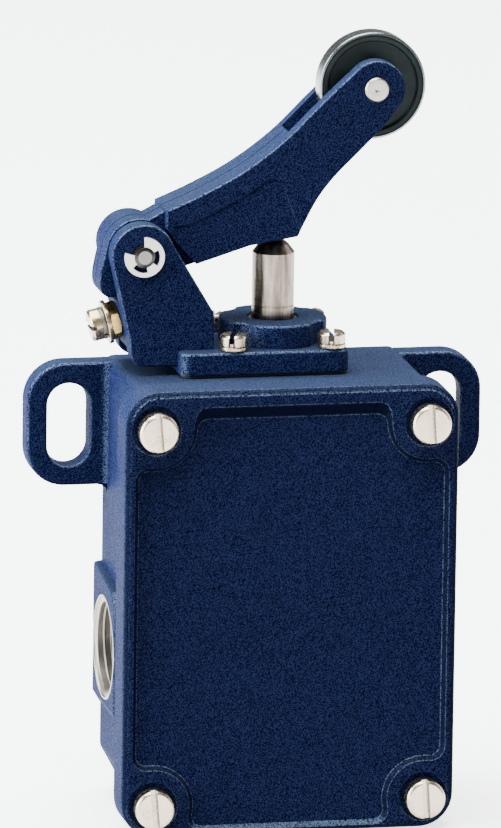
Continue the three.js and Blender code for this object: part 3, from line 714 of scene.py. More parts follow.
coverScrewNames = [f"cover_screw_{number}" for number in range(1, 5)]
headScrewNames = [f"head_screw_{number}" for number in range(1, 5)]
coverScrewSeats = [(middle(name).x, middle(name).z) for name in coverScrewNames]
headScrewSeats = [(middle(name).x, middle(name).y) for name in headScrewNames]
makeHousing(housing)
print("housing made")

# cover

cover = {"corner": 7, "edge": 1.5, "floorHalf": 31.3, "floorTop": 8.5, "floorLow": -75.4, "drop": 1.1,
         "slope": 1.2, "topReach": 1.9,
         "padRadius": 8.6, "padFillet": 2.0, "wall": 3.2, "ringInner": 3.9, "ringOuter": 4.95,
         "ringDepth": 0.7, "postRadius": 5.2,
         "holeRadius": 2.2}


def padRun(values, x, z):
    # the floor's edge round one screw pad, from the upright side of the floor to its level side
    across, up = (1 if x > 0 else -1), (1 if z > -30 else -1)
    radius, fillet = values["padRadius"], values["padFillet"]
    reachX = values["floorHalf"] - abs(x)
    reachZ = abs((values["floorTop"] if up > 0 else values["floorLow"]) - z)
    firstZ = math.sqrt((radius + fillet) ** 2 - (reachX - fillet) ** 2)
    lastX = math.sqrt((radius + fillet) ** 2 - (reachZ - fillet) ** 2)
    first, last = (reachX - fillet, -firstZ), (-lastX, reachZ - fillet)
    turnFirst = math.degrees(math.atan2(-first[1], -first[0]))
    turnLast = math.degrees(math.atan2(-last[1], -last[0]))
    run = arc(first, fillet, 0, turnFirst, 6)
    run += arc((0, 0), radius, turnFirst - 180, turnLast - 180, 16)
    run += arc(last, fillet, turnLast, 90, 6)
    return [Vector((x + across * point.x, z + up * point.y)) for point in run]


def makeCover(values):
    outline = roundedBox(coverLow.x, coverLow.z, coverHigh.x, coverHigh.z, values["corner"], 16)
    tray = slab("cover", outline, coverLow.y, coverHigh.y, "y", values["edge"], 0.4, 6)
    topLeft, topRight, lowLeft, lowRight = (padRun(values, x, z) for x, z in coverScrewSeats)
    floor = topRight + topLeft[::-1] + lowLeft + lowRight[::-1]
    rings = [(coverLow.y - 1, -values["slope"])]
    for step in range(9):
        part = step / 8
        rise = values["drop"] * (1 - math.cos(math.pi * part)) / 2
        rings.append((coverLow.y + rise, -values["slope"] * (1 - part)))
    wall = values["wall"]
    inside = roundedBox(coverLow.x + wall, coverLow.z + wall, coverHigh.x - wall, coverHigh.z - wall, 4)
    hollow = slab("hollow", inside, coverLow.y + wall + values["drop"], coverHigh.y + 1, "y")
    posts = [bar("post", values["postRadius"], -20, 20, (x, coverHigh.y, z), front, 32) for x,
             z in coverScrewSeats]
    cut(hollow, *posts)
    inner, outer, deep = values["ringInner"], values["ringOuter"], values["ringDepth"]
    spots = [turned("ring", [(inner, 1, 0), (inner, -deep, 0.1), (outer, -deep, 0.1), (outer, -0.2, 0.1),
                             (outer + 0.25, 0.02, 0),
                             (outer + 0.25, 1, 0)], (x, coverLow.y, z), front, 56) for x,
                             z in coverScrewSeats]
    holes = [drill((x, coverHigh.y, z), front, values["holeRadius"], 12) for x, z in coverScrewSeats]
    recess = loft("recess", floor, rings, "y")
    for vertex in recess.data.vertices:
        # the wall under the top edge slopes further than the others
        still = min(1, max(0, 1 - (vertex.co.y / mm - coverLow.y) / values["drop"]))
        nearTop = min(1, max(0, (vertex.co.z / mm - values["floorTop"] + 1.5) / 1.5))
        vertex.co.z += values["topReach"] * still * nearTop * mm
    cut(tray, recess, hollow)
    cut(tray, *spots, *holes)
    # painted light and shade on the recess, kept in the "light" attribute: painted highlight lines along its
    # lip and the foot of its wall, painted shade on the wall under the top and sides, none near the screws
    light = tray.data.attributes.new("light", "FLOAT", "POINT")
    for item, vertex in zip(light.data, tray.data.vertices):
        sunk = (vertex.co.y / mm - coverLow.y) / values["drop"]
        nearScrew = min(math.hypot(vertex.co.x / mm - x, vertex.co.z / mm - z) for x,
                        z in coverScrewSeats) < 5.5
        if nearScrew or not 0.01 < sunk < 0.99:
            continue
        low, high = vertex.co.z / mm < values["floorLow"] + 0.1, vertex.co.z / mm > values["floorTop"] - 0.5
        if sunk > 0.95:
            item.value = 1 if low or high else 0.9
        elif sunk < 0.05:
            item.value = 1 if high else 0.7
        else:
            item.value = 0 if low else -1
    return hand(tray, "body", "navy_paint", ["cover"], [paint])


makeCover(cover)
print("cover made")

# what repeats or follows a path: screws and wire, grown by geometry nodes


def startTree(name, inputs):
    tree = bpy.data.node_groups.new(name, "GeometryNodeTree")
    tree.interface.new_socket("Geometry", in_out="INPUT", socket_type="NodeSocketGeometry")
    for label, kind in inputs.items():
        tree.interface.new_socket(label, in_out="INPUT", socket_type=f"NodeSocket{kind}")
    tree.interface.new_socket("Geometry", in_out="OUTPUT", socket_type="NodeSocketGeometry")
    given = tree.nodes.new("NodeGroupInput")

    def node(kind, links, **settings):
        made = tree.nodes.new(kind)
        for key, value in settings.items():
            setattr(made, key, value)
        for label, source in links.items():
            if isinstance(source, str) and source in inputs | {"Geometry": ""}:
                source = given.outputs[source]
            if hasattr(source, "is_output"):
                tree.links.new(source, made.inputs[label])
            else:
                made.inputs[label].default_value = source
        return made.outputs[0]

    return tree, node


def finishTree(tree, node, geometry):
    whole = node("GeometryNodeRealizeInstances", {"Geometry": geometry})
    coated = node("GeometryNodeSetMaterial", {"Geometry": whole, "Material": "Material"})
    tree.links.new(coated, tree.nodes.new("NodeGroupOutput").inputs["Geometry"])
    return tree


def screwTree():
    # one screw on each point, leaned over together and each turned by its own angle
    tree, node = startTree("driveScrews", {"Screw": "Object", "Lean": "Vector", "Material": "Material"})
    screw = node("GeometryNodeObjectInfo", {"Object": "Screw", "As Instance": True})
    shape = screw.node.outputs["Geometry"]
    turn = node("GeometryNodeInputNamedAttribute", {"Name": "turn"}, data_type="FLOAT")
    spin = node("FunctionNodeEulerToRotation", {"Euler": node("ShaderNodeCombineXYZ", {"Z": turn})})
    lean = node("FunctionNodeEulerToRotation", {"Euler": "Lean"})
    aimed = node("FunctionNodeRotateRotation", {"Rotation": lean, "Rotate By": spin},
                 rotation_space="LOCAL")
    placed = node("GeometryNodeInstanceOnPoints",
                  {"Points": "Geometry", "Instance": shape, "Rotation": aimed})
    return finishTree(tree, node, placed)


def wireTree():
    # round or edged wire wound into a helix that rises along Z
    sizes = {"Turns": "Float", "Radius": "Float", "Rise": "Float", "Wire": "Float", "Steps": "Int",
             "Sides": "Int"}
    tree, node = startTree("windWire", {**sizes, "Material": "Material"})
    path = node("GeometryNodeCurveSpiral",
                {"Resolution": "Steps", "Rotations": "Turns", "Start Radius": "Radius",
                                            "End Radius": "Radius", "Height": "Rise"})
    section = node("GeometryNodeCurvePrimitiveCircle", {"Resolution": "Sides", "Radius": "Wire"})
    wire = node("GeometryNodeCurveToMesh", {"Curve": path, "Profile Curve": section, "Fill Caps": True})
    return finishTree(tree, node, wire)


def grow(piece, tree, values):
    modifier = piece.modifiers.new(tree.name, "NODES")
    modifier.node_group = tree
    for item in tree.interface.items_tree:
        if item.name in values and item.in_out == "INPUT":
            modifier[item.identifier] = values[item.name]
    return settle(piece)


screws = screwTree()
wires = wireTree()


def screwBlank(values):
    # a slotted head on its seat at 0, with the shank below it
    radius, height, crown = values["headRadius"], values["headHeight"], values["crown"]
    outline = [(0, -values["length"], 0), (values["shank"], -values["length"], 0.3),
               (values["shank"], 0, 0)]
    foot = 0
    if "skirt" in values:
        foot = values["skirt"] + 0.14
        outline += [(radius + 0.03, 0, 0.1), (radius + 0.03, foot - 0.14, 0.1),
                    (radius - 0.35, foot - 0.14, 0.02),
                    (radius - 0.35, foot, 0.02)]
    outline += [(radius, foot, 0.12), (radius, height - crown, crown * 0.45),
                (radius - crown, height, crown * 0.9),
                (0, height + 1e-3, 0)]
    blank = turned("blank", outline, (0, 0, 0), upward, 56, 5)
    wide = values["slotWidth"] / 2
    slot = roundedBox(-wide, -radius - 1, wide, radius + 1, 0.05, 1)
    cut(blank, pit(slot, height - values["slotDepth"], height, "z", 0.08, 1, 3))
    # painted shade in the slot, kept in the "slot" attribute: its walls fully, its floor by the screw's
    # paintedShade value
    paintedShade = blank.data.attributes.new("slot", "FLOAT", "FACE")
    slotFloor = (height - values["slotDepth"] - 0.1) * mm
    for item, face in zip(paintedShade.data, blank.data.polygons):
        inSlot = abs(face.center.x) < (wide + 0.02) * mm and face.center.z > slotFloor
        item.value = (1 if abs(face.normal.x) > 0.7 else values["paintedShade"]) if inSlot else 0
    return blank


def driveScrews(name, values, seats, lean, body, nodes, material=None):
    blank = screwBlank(values)
    mesh = bpy.data.meshes.new(name)
    mesh.from_pydata([Vector(seat) * mm for seat in seats], [], [])
    turn = mesh.attributes.new("turn", "FLOAT", "POINT")
    for item, angle in zip(turn.data, values["turns"]):
        item.value = math.radians(angle)
    piece = newObject(name, mesh)
    grow(piece, screws, {"Screw": blank, "Lean": lean, "Material": material or nickel})
    bpy.data.objects.remove(blank)
    return hand(piece, body, "nickel_plate", nodes, [material or nickel], 30)


toFront = (math.pi / 2, 0, 0)
coverScrew = {"headRadius": 4.0, "headHeight": 2.9, "crown": 0.5, "shank": 2.0, "length": 16,
              "slotWidth": 1.25,
              "slotDepth": 1.3, "paintedShade": 0.1, "turns": (5, 4, 5, 4)}
headScrew = {"headRadius": 2.85, "headHeight": 3.3, "crown": 0.55, "shank": 1.6, "length": 11,
             "slotWidth": 1.0,
             "slotDepth": 1.7, "skirt": 0.75, "paintedShade": 0.9, "turns": (-20, -12, -28, -8)}
terminalScrew = {"headRadius": 2.7, "headHeight": 2.0, "crown": 0.4, "shank": 1.6, "length": 6,
                 "slotWidth": 0.8,
                 "slotDepth": 0.9, "paintedShade": 0.3, "turns": (12, 70, 140, 33)}
blockScrew = {**terminalScrew, "headRadius": 2.8, "headHeight": 2.2, "length": 8.5}
earthScrew = {**terminalScrew, "headRadius": 3.2, "headHeight": 2.2, "length": 4.5}


def frontSeats(nodes, reach):
    # the seats of screws that face the front, whose shanks reach back by that length
    return [(middle(node).x, span(node)[1].y - reach, middle(node).z) for node in nodes]


driveScrews("coverScrews", coverScrew, frontSeats(coverScrewNames, coverScrew["length"]), toFront, "body",
            coverScrewNames)
driveScrews("headScrews", headScrew,
            [(x, y, span("head_screw_1")[0].z + headScrew["length"]) for x, y in headScrewSeats],
            (0, 0, 0), "body", headScrewNames)
terminalNames = [f"terminal_screw_{level}_{place}" for level in ("closed", "open")
                 for place in ("left", "right")]
blockNames = ["block_screw_1", "block_screw_2"]
driveScrews("terminalScrews", terminalScrew, frontSeats(terminalNames, terminalScrew["length"]), toFront,
            "body", terminalNames)
driveScrews("blockScrews", blockScrew, frontSeats(blockNames, blockScrew["length"]), toFront, "body",
            blockNames)
driveScrews("earthScrew", earthScrew, frontSeats(["earth_screw"], earthScrew["length"]), toFront, "body",
            ["earth_screw"], brass)
print("screws driven")


def windSpring(name, values, body, node):
    low, high = span(node)
    centre = middle(node)
    rise = (high.z - low.z - 2 * values["wire"]) * mm
    piece = newObject(name, bpy.data.meshes.new(name))
    sizes = {"Turns": values["turns"], "Radius": values["radius"] * mm, "Rise": rise,
             "Wire": values["wire"] * mm,
             "Steps": 40, "Sides": 14, "Material": springWire}
    grow(piece, wires, sizes)
    piece.data.transform(Matrix.Translation(Vector((centre.x, centre.y, low.z + values["wire"])) * mm))
    hand(piece, body, "spring_wire", [node], [springWire])
    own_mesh(piece)


windSpring("plungerSpring", {"turns": 5.0, "radius": 4.7, "wire": 0.5, "keep": 0.57}, "body",
           "plunger_spring")
windSpring("carrierSpring", {"turns": 6.0, "radius": 2.6, "wire": 0.36, "keep": 0.58}, "body",
           "carrier_spring")
print("springs wound")

# cable entry

entry = {"outer": 10.9, "bore": 9.25, "neck": 9.9, "depth": 4.9, "chamfer": 0.7, "step": 10.15,
         "threadPitch": 1.5,
         "ridge": 0.42}


def makeEntry(values):
    centre = (entryLow.x, middle("cable_entry_bush").y, middle("cable_entry_bush").z)
    bore, chamfer = values["bore"], values["chamfer"]
    bush = turned("cableEntryBush", [
        (bore + chamfer, 0.35, 0.1), (values["step"], 0.35, 0.05), (values["step"] + 0.1, 0, 0.1),
        (values["outer"], 0, 0.35), (values["outer"], 1.6, 0), (values["neck"], 1.6, 0),
        (values["neck"], values["depth"], 0.1), (bore, values["depth"], 0), (bore, chamfer, 0.1),
    ], centre, right, 112)
    ridge = newObject("thread", bpy.data.meshes.new("thread"))
    turns = (values["depth"] - chamfer - 0.6) / values["threadPitch"]
    grow(ridge, wires, {"Turns": turns, "Radius": (bore + 0.05) * mm,
                        "Rise": turns * values["threadPitch"] * mm,
                        "Wire": values["ridge"] * mm, "Steps": 64, "Sides": 3, "Material": nickel})
    turn = Vector(upward).rotation_difference(Vector(right)).to_matrix().to_4x4()
    start = Vector(centre) + Vector(right) * (chamfer + 0.3)
    ridge.data.transform(Matrix.Translation(start * mm) @ turn)
    shell = bmesh.new()
    shell.from_mesh(bush.data)
    # painted shade: the faces deep in the bore and the thread get the near-black second material
    for face in shell.faces:
        spot = face.calc_center_median() / mm - Vector(centre)
        deep = math.hypot(spot.y, spot.z) < bore + 0.3 and spot.x > chamfer
        face.material_index = 1 if deep else 0
    plain = len(shell.faces)
    shell.from_mesh(ridge.data)
    shell.faces.ensure_lookup_table()
    for face in shell.faces[plain:]:
        face.material_index = 1
    shell.to_mesh(bush.data)
    shell.free()
    bpy.data.objects.remove(ridge)
    hand(bush, "body", "nickel_plate", ["cable_entry_bush"], [entryMetal, paintedBoreShade], 25)


makeEntry(entry)
print("cable entry made")

# head bracket

bracket = {"left": -21.4, "right": 13.5, "half": 12.8, "plateLow": 0.6, "plateTop": 5.2, "corner": 2.5,
           "edge": 0.8,
           "collarTop": 10, "collarRadius": 11, "bite": 4.3, "cheekOuter": 9, "cheekInner": 4.6,
           "cheekRadius": 6.5,
           "tilt": 13, "seatX": -31.95, "seatZ": 10.2, "boreTop": 5.1, "boreBelow": 6.2, "boreStep": 8.3,
           "screwHole": (1.9, 8), "adjusterHole": (2.2, 9), "pinHole": 2.42}
adjusterAxis = Vector((math.cos(math.radians(bracket["tilt"])), 0, math.sin(math.radians(bracket["tilt"]))))
adjusterSeat = Vector((head.x + bracket["seatX"], head.y, head.z + bracket["seatZ"]))


def cheekOutline(values):
    corners = [(-13.9, 0.6, 0), (-13.9, 12.6, 2.5), (-19.7, 22.3, 1)]
    start = math.degrees(math.atan2(2.2, 6.2))
    hubEdge = arc((pivot.x, pivot.z), values["cheekRadius"], start, 195, 24)
    corners += [(point.x - head.x, point.y - head.z, 0) for point in hubEdge]
    corners += [(-31.4, 8, 4), (-30.7, 1.9, 2.8), (-21, 1.9, 0.6), (-20.4, 0.6, 0)]
    return roundCorners(shifted(corners))


def webOutline(values):
    lean = math.tan(math.radians(values["tilt"]))
    faceAt = [values["seatX"] - (z - values["seatZ"]) * lean for z in (14.6, 6, 5)]
    return roundCorners(shifted([
        (faceAt[0], 14.6, 0.5), (faceAt[0] + 5, 14.6, 0.5), (faceAt[1] + 5, 6, 1.5), (-13.9, 5.2, 0),
        (-13.9, 1.9, 0),
        (-27.8, 1.9, 0), (faceAt[2], 5, 1.5),
    ]))


def makeBracket(values):
    plateTop, collarTop = head.z + values["plateTop"], head.z + values["collarTop"]
    plate = roundedBox(head.x + values["left"], head.y - values["half"], head.x + values["right"],
                       head.y + values["half"], values["corner"])
    shell = slab("headBracket", plate, head.z + values["plateLow"], plateTop, "z", 0.2, values["edge"])
    collar = slab("collar", circle(head.x, head.y, values["collarRadius"], 72), plateTop - 1, collarTop,
                  "z", 0, 0.7)
    cut(collar, *[pit(circle(x, y, values["bite"]), plateTop - 2, collarTop, "z", 0.6) for x,
                  y in headScrewSeats])
    outer, inner = values["cheekOuter"], values["cheekInner"]
    cheek = cheekOutline(values)
    cheeks = [slab("cheek", cheek, head.y - outer, head.y - inner, "y", 0.5, 0.3),
              slab("cheek", cheek, head.y + inner, head.y + outer, "y", 0.3, 0.5)]
    web = slab("web", webOutline(values), head.y - inner - 0.5, head.y + inner + 0.5, "y")
    join(shell, collar, *cheeks, web)
    bores = [drill((x, y, plateTop), downward, *values["screwHole"]) for x, y in headScrewSeats]
    bores.append(pit(circle(head.x, head.y, values["boreTop"], 64), head.z + 7, collarTop, "z", 0.45))
    bores.append(bar("counterbore", values["boreBelow"], -1, values["boreStep"], head, upward, 48))
    bores.append(through(circle(pivot.x, pivot.z, values["pinHole"]), head.y - outer, head.y + outer, "y",
                         0.15))
    bores.append(drill(adjusterSeat, adjusterAxis, *values["adjusterHole"]))
    cut(shell, *bores)
    return hand(shell, "body", "navy_paint", ["head_bracket"], [paint])


makeBracket(bracket)
print("bracket made")

# lever

lever = {"half": 6.5, "hubHalf": 4.4, "hubRadius": 6.9, "edge": 0.45, "forkHalf": 3.3, "forkEnd": 5.9,
         "forkRoot": (2.0, 48.6), "swing": 12, "pinHole": 2.42, "axleHole": 2.6, "groove": 0.3,
         "grooveDepth": 0.35,
         "relief": 0.22, "markPlace": (12.9, 50.7), "markRadius": 1.6}


def smoothRun(points, steps):
    # a smooth run through given points
    points = [Vector(point) for point in points]
    spots = [2 * points[0] - points[1], *points, 2 * points[-1] - points[-2]]
    run = []
    for before, start, end, after in zip(spots, spots[1:], spots[2:], spots[3:]):
        for step in range(steps):
            t = step / steps
            run.append(((2 * start) + (end - before) * t + (2 * before - 5 * start + 4 * end - after) * t * t
                        + (3 * start - before - 3 * end + after) * t ** 3) / 2)
    return run + [points[-1]]


def armOutline(values):
    # the wide part of the lever, from its neck along the underside, round the fork's end and back
    place = (axle.x - head.x, axle.z - head.z)
    fork = arc(place, values["forkEnd"], -40, 128, 22)
    under = smoothRun([(4.9, 30.0), (7.7, 35.2), (11.2, 39.7), (16.2, 44.7), (21.3, 49.9), tuple(fork[0])],
                      5)
    over = smoothRun([tuple(fork[-1]), (8.3, 54.8), (0.4, 47.1), (-7.8, 41.1), (-16.1, 36.7),
                      (-23.5, 33.5)], 6)
    corners = [(-23.5, 28, 0), (-19.4, 21.6, 0.6), (-6.2, 25.8, 8), (3.7, 27.4, 0.5)]
    corners += [(point.x, point.y, 0) for point in under + fork[1:-1] + over]
    return roundCorners(shifted(corners))


def rootOutline(values):
    # the hub, the neck and the heel that hangs outside the web
    centre = (pivot.x - head.x, pivot.z - head.z)
    hub = arc(centre, values["hubRadius"], 75, 174, 18)
    heel = smoothRun([tuple(hub[-1]), (-36.3, 21.9), (-36.75, 18.8), (-36.3, 16.6), (-35, 15.55)], 5)
    inner = arc(centre, 6.7, -113.5, -68.8, 8)
    corners = [Vector((-19, 21.7)), Vector((-19, 35.0)), Vector((-23.5, 33.2)), *hub, *heel[1:],
               Vector((-33.8, 15.5)),
               Vector((-31.3, 18.6)), *inner]
    return [Vector(point) for point in shifted(corners)]


def cheekRoom(values, low, high):
    # what the cheeks sweep beside the hub as the lever swings
    turn = math.radians(values["swing"])
    swept = [(x * math.cos(turn) - z * math.sin(turn) + 0.45, x * math.sin(turn) + z * math.cos(turn))
             for x, z in ((6.2, 2.2), (8.9, -2.5), (13.9, -11.2))]
    points = [Vector((pivot.x + x, pivot.z + z)) for x, z in [*swept, (0, -20), (-12, 0), (0, 5.5)]]
    hub = slab("hubRoom", circle(pivot.x, pivot.z, 7.2, 72), low, high, "y")
    return join(hub, slab("sweep", points, low + 0.01, high - 0.01, "y"))


def makeLever(values):
    near, far = head.y - values["half"], head.y + values["half"]
    hubNear, hubFar = head.y - values["hubHalf"], head.y + values["hubHalf"]
    arm, root = armOutline(values), rootOutline(values)
    shell = slab("leverArm", arm, near, far, "y", values["edge"], values["edge"])
    cut(shell, cheekRoom(values, near - 1, hubNear), cheekRoom(values, hubFar, far + 1))
    join(shell, slab("root", root, hubNear, hubFar, "y", 0.4, 0.4))

    along = math.atan2(axle.z - pivot.z, axle.x - pivot.x)
    onward, across = Vector((math.cos(along), math.sin(along))), Vector((-math.sin(along), math.cos(along)))
    start = Vector(values["forkRoot"]) + Vector((head.x, head.z))
    gap = [start + across * 20, start - across * 30, start - across * 30 + onward * 40,
           start + across * 20 + onward * 40]
    fork = slab("fork", gap, head.y - values["forkHalf"], head.y + values["forkHalf"], "y")

    reach = 80
    sheet = slab("groove", roundedBox(-reach, -reach, reach, 2 * reach, 1, 1),
                 head.y - values["groove"] / 2,
                 head.y + values["groove"] / 2, "y")
    deep = values["grooveDepth"]
    cut(sheet, slab("inner", inset(arm if area(arm) > 0 else arm[::-1], deep), head.y - 1, head.y + 1, "y"),
        slab("inner", inset(root if area(root) > 0 else root[::-1], deep), head.y - 1.1, head.y + 1.1, "y"))

    line = smoothRun([(-21.7, 30.3), (-17.8, 30.9), (-8.6, 35.4), (-2.2, 39.4)], 6)
    low = roundCorners(shifted([(-24, 20, 0), *[(point.x, point.y, 0) for point in line[:-1]],
                                (-0.6, 40.6, 2.2),
                                (4.6, 27.0, 0), (4.6, 20, 0)]))
    reliefs = [pit(low, near + values["relief"], near, "y", 0.18),
               pit(low, far - values["relief"], far, "y", 0.18)]
    marks = []
    for face, axis in ((near, backward), (far, front)):
        radius, x, z = values["markRadius"], *values["markPlace"]
        marks.append(turned("mark", [(radius - 0.22, -1, 0), (radius + 0.1, -1, 0), (radius, 0.16, 0.05),
                                     (radius - 0.16, 0.16, 0.05)],
                            (head.x + x, face, head.z + z), axis, 32))
    holes = [through(circle(pivot.x, pivot.z, values["pinHole"]), hubNear, hubFar, "y", 0.1),
             through(circle(axle.x, axle.z, values["axleHole"]), near, far, "y", 0.22)]
    cut(shell, fork, *holes)
    cut(shell, sheet)
    cut(shell, *reliefs, *marks)
    return hand(shell, "lever", "navy_paint", ["lever"], [paint])


makeLever(lever)
print("lever made")

# pivot pin and its open ring

pin = {"radius": 2.3, "grooveRadius": 1.7, "grooveNear": 9.9, "grooveFar": 9.2, "endRadius": 1.4,
       "end": 10.2,
       "headRadius": 3.6, "headNear": -9.1, "headEnd": -10.8}
clip = {"outer": 4.15, "lug": 1.8, "window": 3.1, "mouth": (92, 165), "windows": (-3, 252),
        "windowHalf": 30,
        "near": -9.85, "far": -9.25}


def makePin(values):
    radius, groove = values["radius"], values["grooveRadius"]
    piece = turned("pivotPin", [
        (0, values["headEnd"], 0), (values["headRadius"], values["headEnd"], 0.5),
        (values["headRadius"], values["headNear"], 0.1), (radius, values["headNear"], 0),
        (radius, values["grooveFar"], 0), (groove, values["grooveFar"], 0.05),
        (groove, values["grooveNear"], 0.05),
        (radius, values["grooveNear"] + 0.02, 0.04), (values["endRadius"], values["end"], 0.08),
        (0, values["end"], 0),
    ], (pivot.x, head.y, pivot.z), front, 56)
    # painted shade on the pin, through the "slot" attribute: every face outside the middle of its end is
    # darkened, leaving a dark ring round a light middle at its end
    paintedShade = piece.data.attributes.new("slot", "FLOAT", "FACE")
    for item, face in zip(paintedShade.data, piece.data.polygons):
        out = math.hypot(face.center.x / mm - pivot.x, face.center.z / mm - pivot.z)
        item.value = 0 if out < values["endRadius"] - 0.1 else 0.8
    return hand(piece, "body", "nickel_plate", ["pivot_pin"], [pinSteel], 25)


def makeClip(values):
    place = (pivot.x, pivot.z)
    start, end = values["mouth"]
    outline = arc(place, values["outer"], end, start + 360, 60)
    edges = sorted(angle % 360 + side * values["windowHalf"] for angle in values["windows"]
                   for side in sides)
    stops = [start + 360, *edges[::-1], end]
    for index, (first, last) in enumerate(zip(stops, stops[1:])):
        outline += arc(place, values["window"] if index % 2 else values["lug"], first, last, 14)
    piece = slab("pivotClip", outline, head.y + values["near"], head.y + values["far"], "y", 0.1, 0.1, 3)
    return hand(piece, "body", "nickel_plate", ["pivot_clip"], [clipSteel], 30)


makePin(pin)
makeClip(clip)

# adjusting screw, washers and lock nut, along the leaning axis

adjuster = {"headRadius": 3.25, "headHeight": 2.4, "crown": 0.45, "shank": 1.95, "length": 13,
            "slotWidth": 0.9,
            "slotDepth": 1.1, "paintedShade": 0.3, "headAt": -3.75, "nut": (-2.0, -0.1), "nutRadius": 4.05,
            "nutChamfer": 0.28, "bore": 2.07,
            "washer": (-2.95, -2.1), "washerRadius": 4.5, "spring": (-3.7, -3.05), "springRadius": 3.3}


def alongAdjuster(piece, start=0.0, back=False):
    # lays a piece drawn about +Z on the adjuster's axis; back turns its top outwards
    lean = -90 - bracket["tilt"] if back else 90 - bracket["tilt"]
    place = adjusterSeat + adjusterAxis * start
    piece.data.transform(Matrix.Translation(place * mm) @ Matrix.Rotation(math.radians(lean), 4, "Y"))
    return piece


def makeAdjuster(values):
    origin = (0, 0, 0)
    screw = alongAdjuster(screwBlank(values), values["headAt"], True)
    screw.name = "adjustingScrew"
    hand(screw, "body", "nickel_plate", ["adjusting_screw"], [warmPlate], 30)
    low, high = values["nut"]
    wide, chamfer = values["nutRadius"], values["nutChamfer"]
    nut = slab("adjusterNut", circle(0, 0, wide, 6), low, high, "z")
    cone = turned("cone", [(0, low, 0), (wide - 2 * chamfer, low, 0), (wide + 0.05, low + chamfer, 0),
                           (wide + 0.05, high - chamfer, 0), (wide - 2 * chamfer, high, 0), (0, high, 0)],
                           origin, upward, 72)
    combine(nut, [cone], "INTERSECT")
    cut(nut, bar("bore", values["bore"], low - 1, high + 1, origin, upward, 48))
    hand(alongAdjuster(softenEdges(nut, 0.06, 2)), "body", "brass", ["adjuster_lock_nut"], [brass], 30)
    washer = flatRing("adjusterWasher", values["bore"], values["washerRadius"], values["washer"],
                      (0.08, 0.12), origin,
                      upward, 56)
    hand(alongAdjuster(washer), "body", "nickel_plate", ["adjuster_washer"], [warmPlate], 30)
    low, high = values["spring"]
    spring = flatRing("adjusterSpringWasher", values["bore"], values["springRadius"], (low, high),
                      (0.05, 0.08), origin,
                      upward, 56)
    gap = slab("gap", roundedBox(-0.3, -5, 0.3, 0, 0.02, 1), low - 1, high + 1, "z")
    gap.data.transform(Matrix.Rotation(math.radians(35), 4, "Z"))
    cut(spring, gap)
    hand(alongAdjuster(spring), "body", "polished_steel", ["adjuster_spring_washer"], [darkSteel], 30)


makeAdjuster(adjuster)
print("pivot and adjuster made")

# plunger and what guides it

plunger = {"foot": -20, "footRadius": 3.0, "neckLow": -9.6, "neckHigh": -8.9, "neckRadius": 2.6,
           "radius": 4.3,
           "groove": 12.4, "grooveDepth": 0.12,
           "tip": ((4.3, 23.3, 0.3), (2.9, 25.1, 2.4), (1.2, 26.15, 0.9), (0, 26.33, 0)),
           "ring": (-9.5, -9.0), "ringInner": 2.7, "ringOuter": 6.2, "guide": (0.8, 8.1),
           "guideInner": 4.42,
           "guideOuter": 6.05, "wiper": (8.4, 9.7), "wiperInner": 4.4, "wiperOuter": 4.98}


def makePlunger(values):
    radius, groove, deep = values["radius"], values["groove"], values["grooveDepth"]
    rod = turned("plungerRod", [
        (0, values["foot"], 0), (values["footRadius"], values["foot"], 0.5),
        (values["footRadius"], values["neckLow"], 0.1),
        (values["neckRadius"], values["neckLow"], 0), (values["neckRadius"], values["neckHigh"], 0),
        (radius, values["neckHigh"], 0.3), (radius, groove - 0.18, 0), (radius - deep, groove - 0.08, 0),
        (radius - deep, groove + 0.08, 0), (radius, groove + 0.18, 0), *values["tip"],
    ], head, upward, 96, 6)
    hand(rod, "plunger", "polished_steel", ["plunger"], [polished], 30)
    ring = flatRing("plungerRing", values["ringInner"], values["ringOuter"], values["ring"], (0.06, 0.12),
                    head, upward, 64)
    hand(ring, "plunger", "polished_steel", ["plunger_stop_ring"], [brightSteel], 30)
    guide = flatRing("guideBush", values["guideInner"], values["guideOuter"], values["guide"], (0.3, 0.2),
                     head, upward, 80)
    hand(guide, "body", "brass", ["guide_bush"], [brass], 30)
    low, high = values["wiper"]
    inner, outer = values["wiperInner"], values["wiperOuter"]
    wiper = turned("wiperSeal", [(inner + 0.25, low, 0), (outer, low, 0.05), (outer, high - 0.15, 0.15),
                                 (inner, high, 0.08),
                                 (inner, high - 0.3, 0.1), (inner + 0.25, high - 0.55, 0)], head, upward,
                                 80)
    hand(wiper, "body", "black_rubber", ["wiper_seal"], [rubber], 40)


makePlunger(plunger)
print("plunger made")

# roller, axle and washers

roller = {"radius": 11, "half": 2.4, "bore": 2.65, "hub": 4.2, "web": 1.6, "rim": 9.35, "lineRadius": 10.25,
          "lineDepth": 0.12, "treadFrom": 10.55, "axleRadius": 2.5, "axleHalf": 6.8, "axleChamfer": 0.3,
          "dimple": 0.55, "washerRadius": 4.2, "washerAt": 2.85, "washerHalf": 0.3}


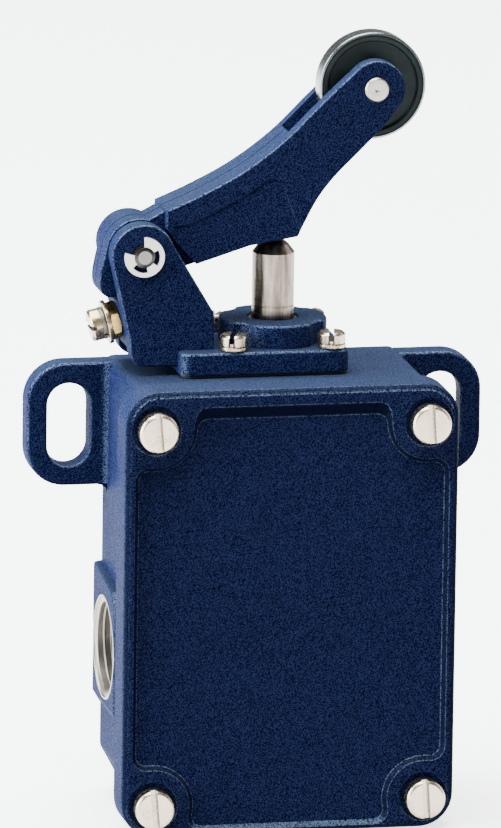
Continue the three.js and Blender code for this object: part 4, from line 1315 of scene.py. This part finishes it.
def makeRoller(values):
    half, web, rim, line, deep = (values[key] for key in ("half", "web", "rim", "lineRadius", "lineDepth"))
    side = [(values["bore"], half, 0.2), (values["hub"], half, 0.2), (values["hub"] + 0.15, web, 0.2),
            (rim - 0.2, web, 0.35),
            (rim, half, 0.12), (line - 0.14, half, 0), (line - 0.06, half - deep, 0),
            (line + 0.06, half - deep, 0),
            (line + 0.14, half, 0), (values["radius"], half, 0.45)]
    outline = side + [(radius, -along, rounding) for radius, along, rounding in side[::-1]]
    wheel = turned("rollerWheel", outline[::-1], axle, front, 128, 5)
    hand(wheel, "roller", "roller_steel", ["roller"], [blackened, tread], 30)
    centre = Vector((axle.x, axle.z)) * mm
    for face in wheel.data.polygons:
        out = (Vector((face.center.x, face.center.z)) - centre).length / mm
        face.material_index = 1 if out > values["treadFrom"] else 0
    radius, end, chamfer = values["axleRadius"], values["axleHalf"], values["axleChamfer"]
    dimple = values["dimple"]
    rod = turned("rollerAxle", [
        (0, dimple - end, 0), (dimple, -end, 0.05), (radius - chamfer, -end, 0.08),
        (radius, chamfer - end, 0.08),
        (radius, end - chamfer, 0.08), (radius - chamfer, end, 0.08), (dimple, end, 0.05),
        (0, end - dimple, 0),
    ], axle, front, 64)
    hand(rod, "lever", "nickel_plate", ["roller_axle"], [axleSteel], 30)
    thick = values["washerHalf"]
    for number, place in zip((1, 2), sides):
        at = (axle.x, axle.y + place * values["washerAt"], axle.z)
        washer = flatRing(f"rollerWasher{number}", values["bore"], values["washerRadius"], (-thick, thick),
                          (0.06, 0.12),
                          at, front, 56)
        hand(washer, "lever", "polished_steel", [f"roller_washer_{number}"], [brightSteel], 30)


makeRoller(roller)
print("roller made")

# contact block, gaskets and the rest inside, from the frame's own shapes with worked edges


def fromFrame(name, node, body, slot, material, soften, segments=2):
    shell = bmesh.new()
    shell.from_mesh(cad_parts[node].data)
    bmesh.ops.remove_doubles(shell, verts=shell.verts, dist=2e-6)
    bmesh.ops.dissolve_limit(shell, angle_limit=math.radians(0.5), verts=shell.verts, edges=shell.edges)
    piece = softenEdges(newPiece(name, shell), soften, segments, 50)
    return hand(piece, body, slot, [node], [material], 30)


for values in (("coverGasket", "cover_gasket", "body", "black_rubber", rubber, 0.1),
               ("headGasket", "head_gasket", "body", "black_rubber", rubber, 0.08),
               ("blockBase", "block_base", "body", "dark_moulding", darkPlastic, 0.3),
               ("blockCover", "block_cover", "body", "tan_moulding", tanPlastic, 0.5, 3),
               ("contactCarrier", "contact_carrier", "carrier", "dark_moulding", darkPlastic, 0.25)):
    fromFrame(*values)
for state in ("closed", "open"):
    fromFrame(f"{state}Bridge", f"bridge_{state}", "carrier", "brass", brass, 0.12)
    for place in ("left", "right"):
        fromFrame(f"{state}{place.title()}Contact", f"contact_{state}_{place}", "body", "brass", brass,
                  0.12)
print("contact block made")
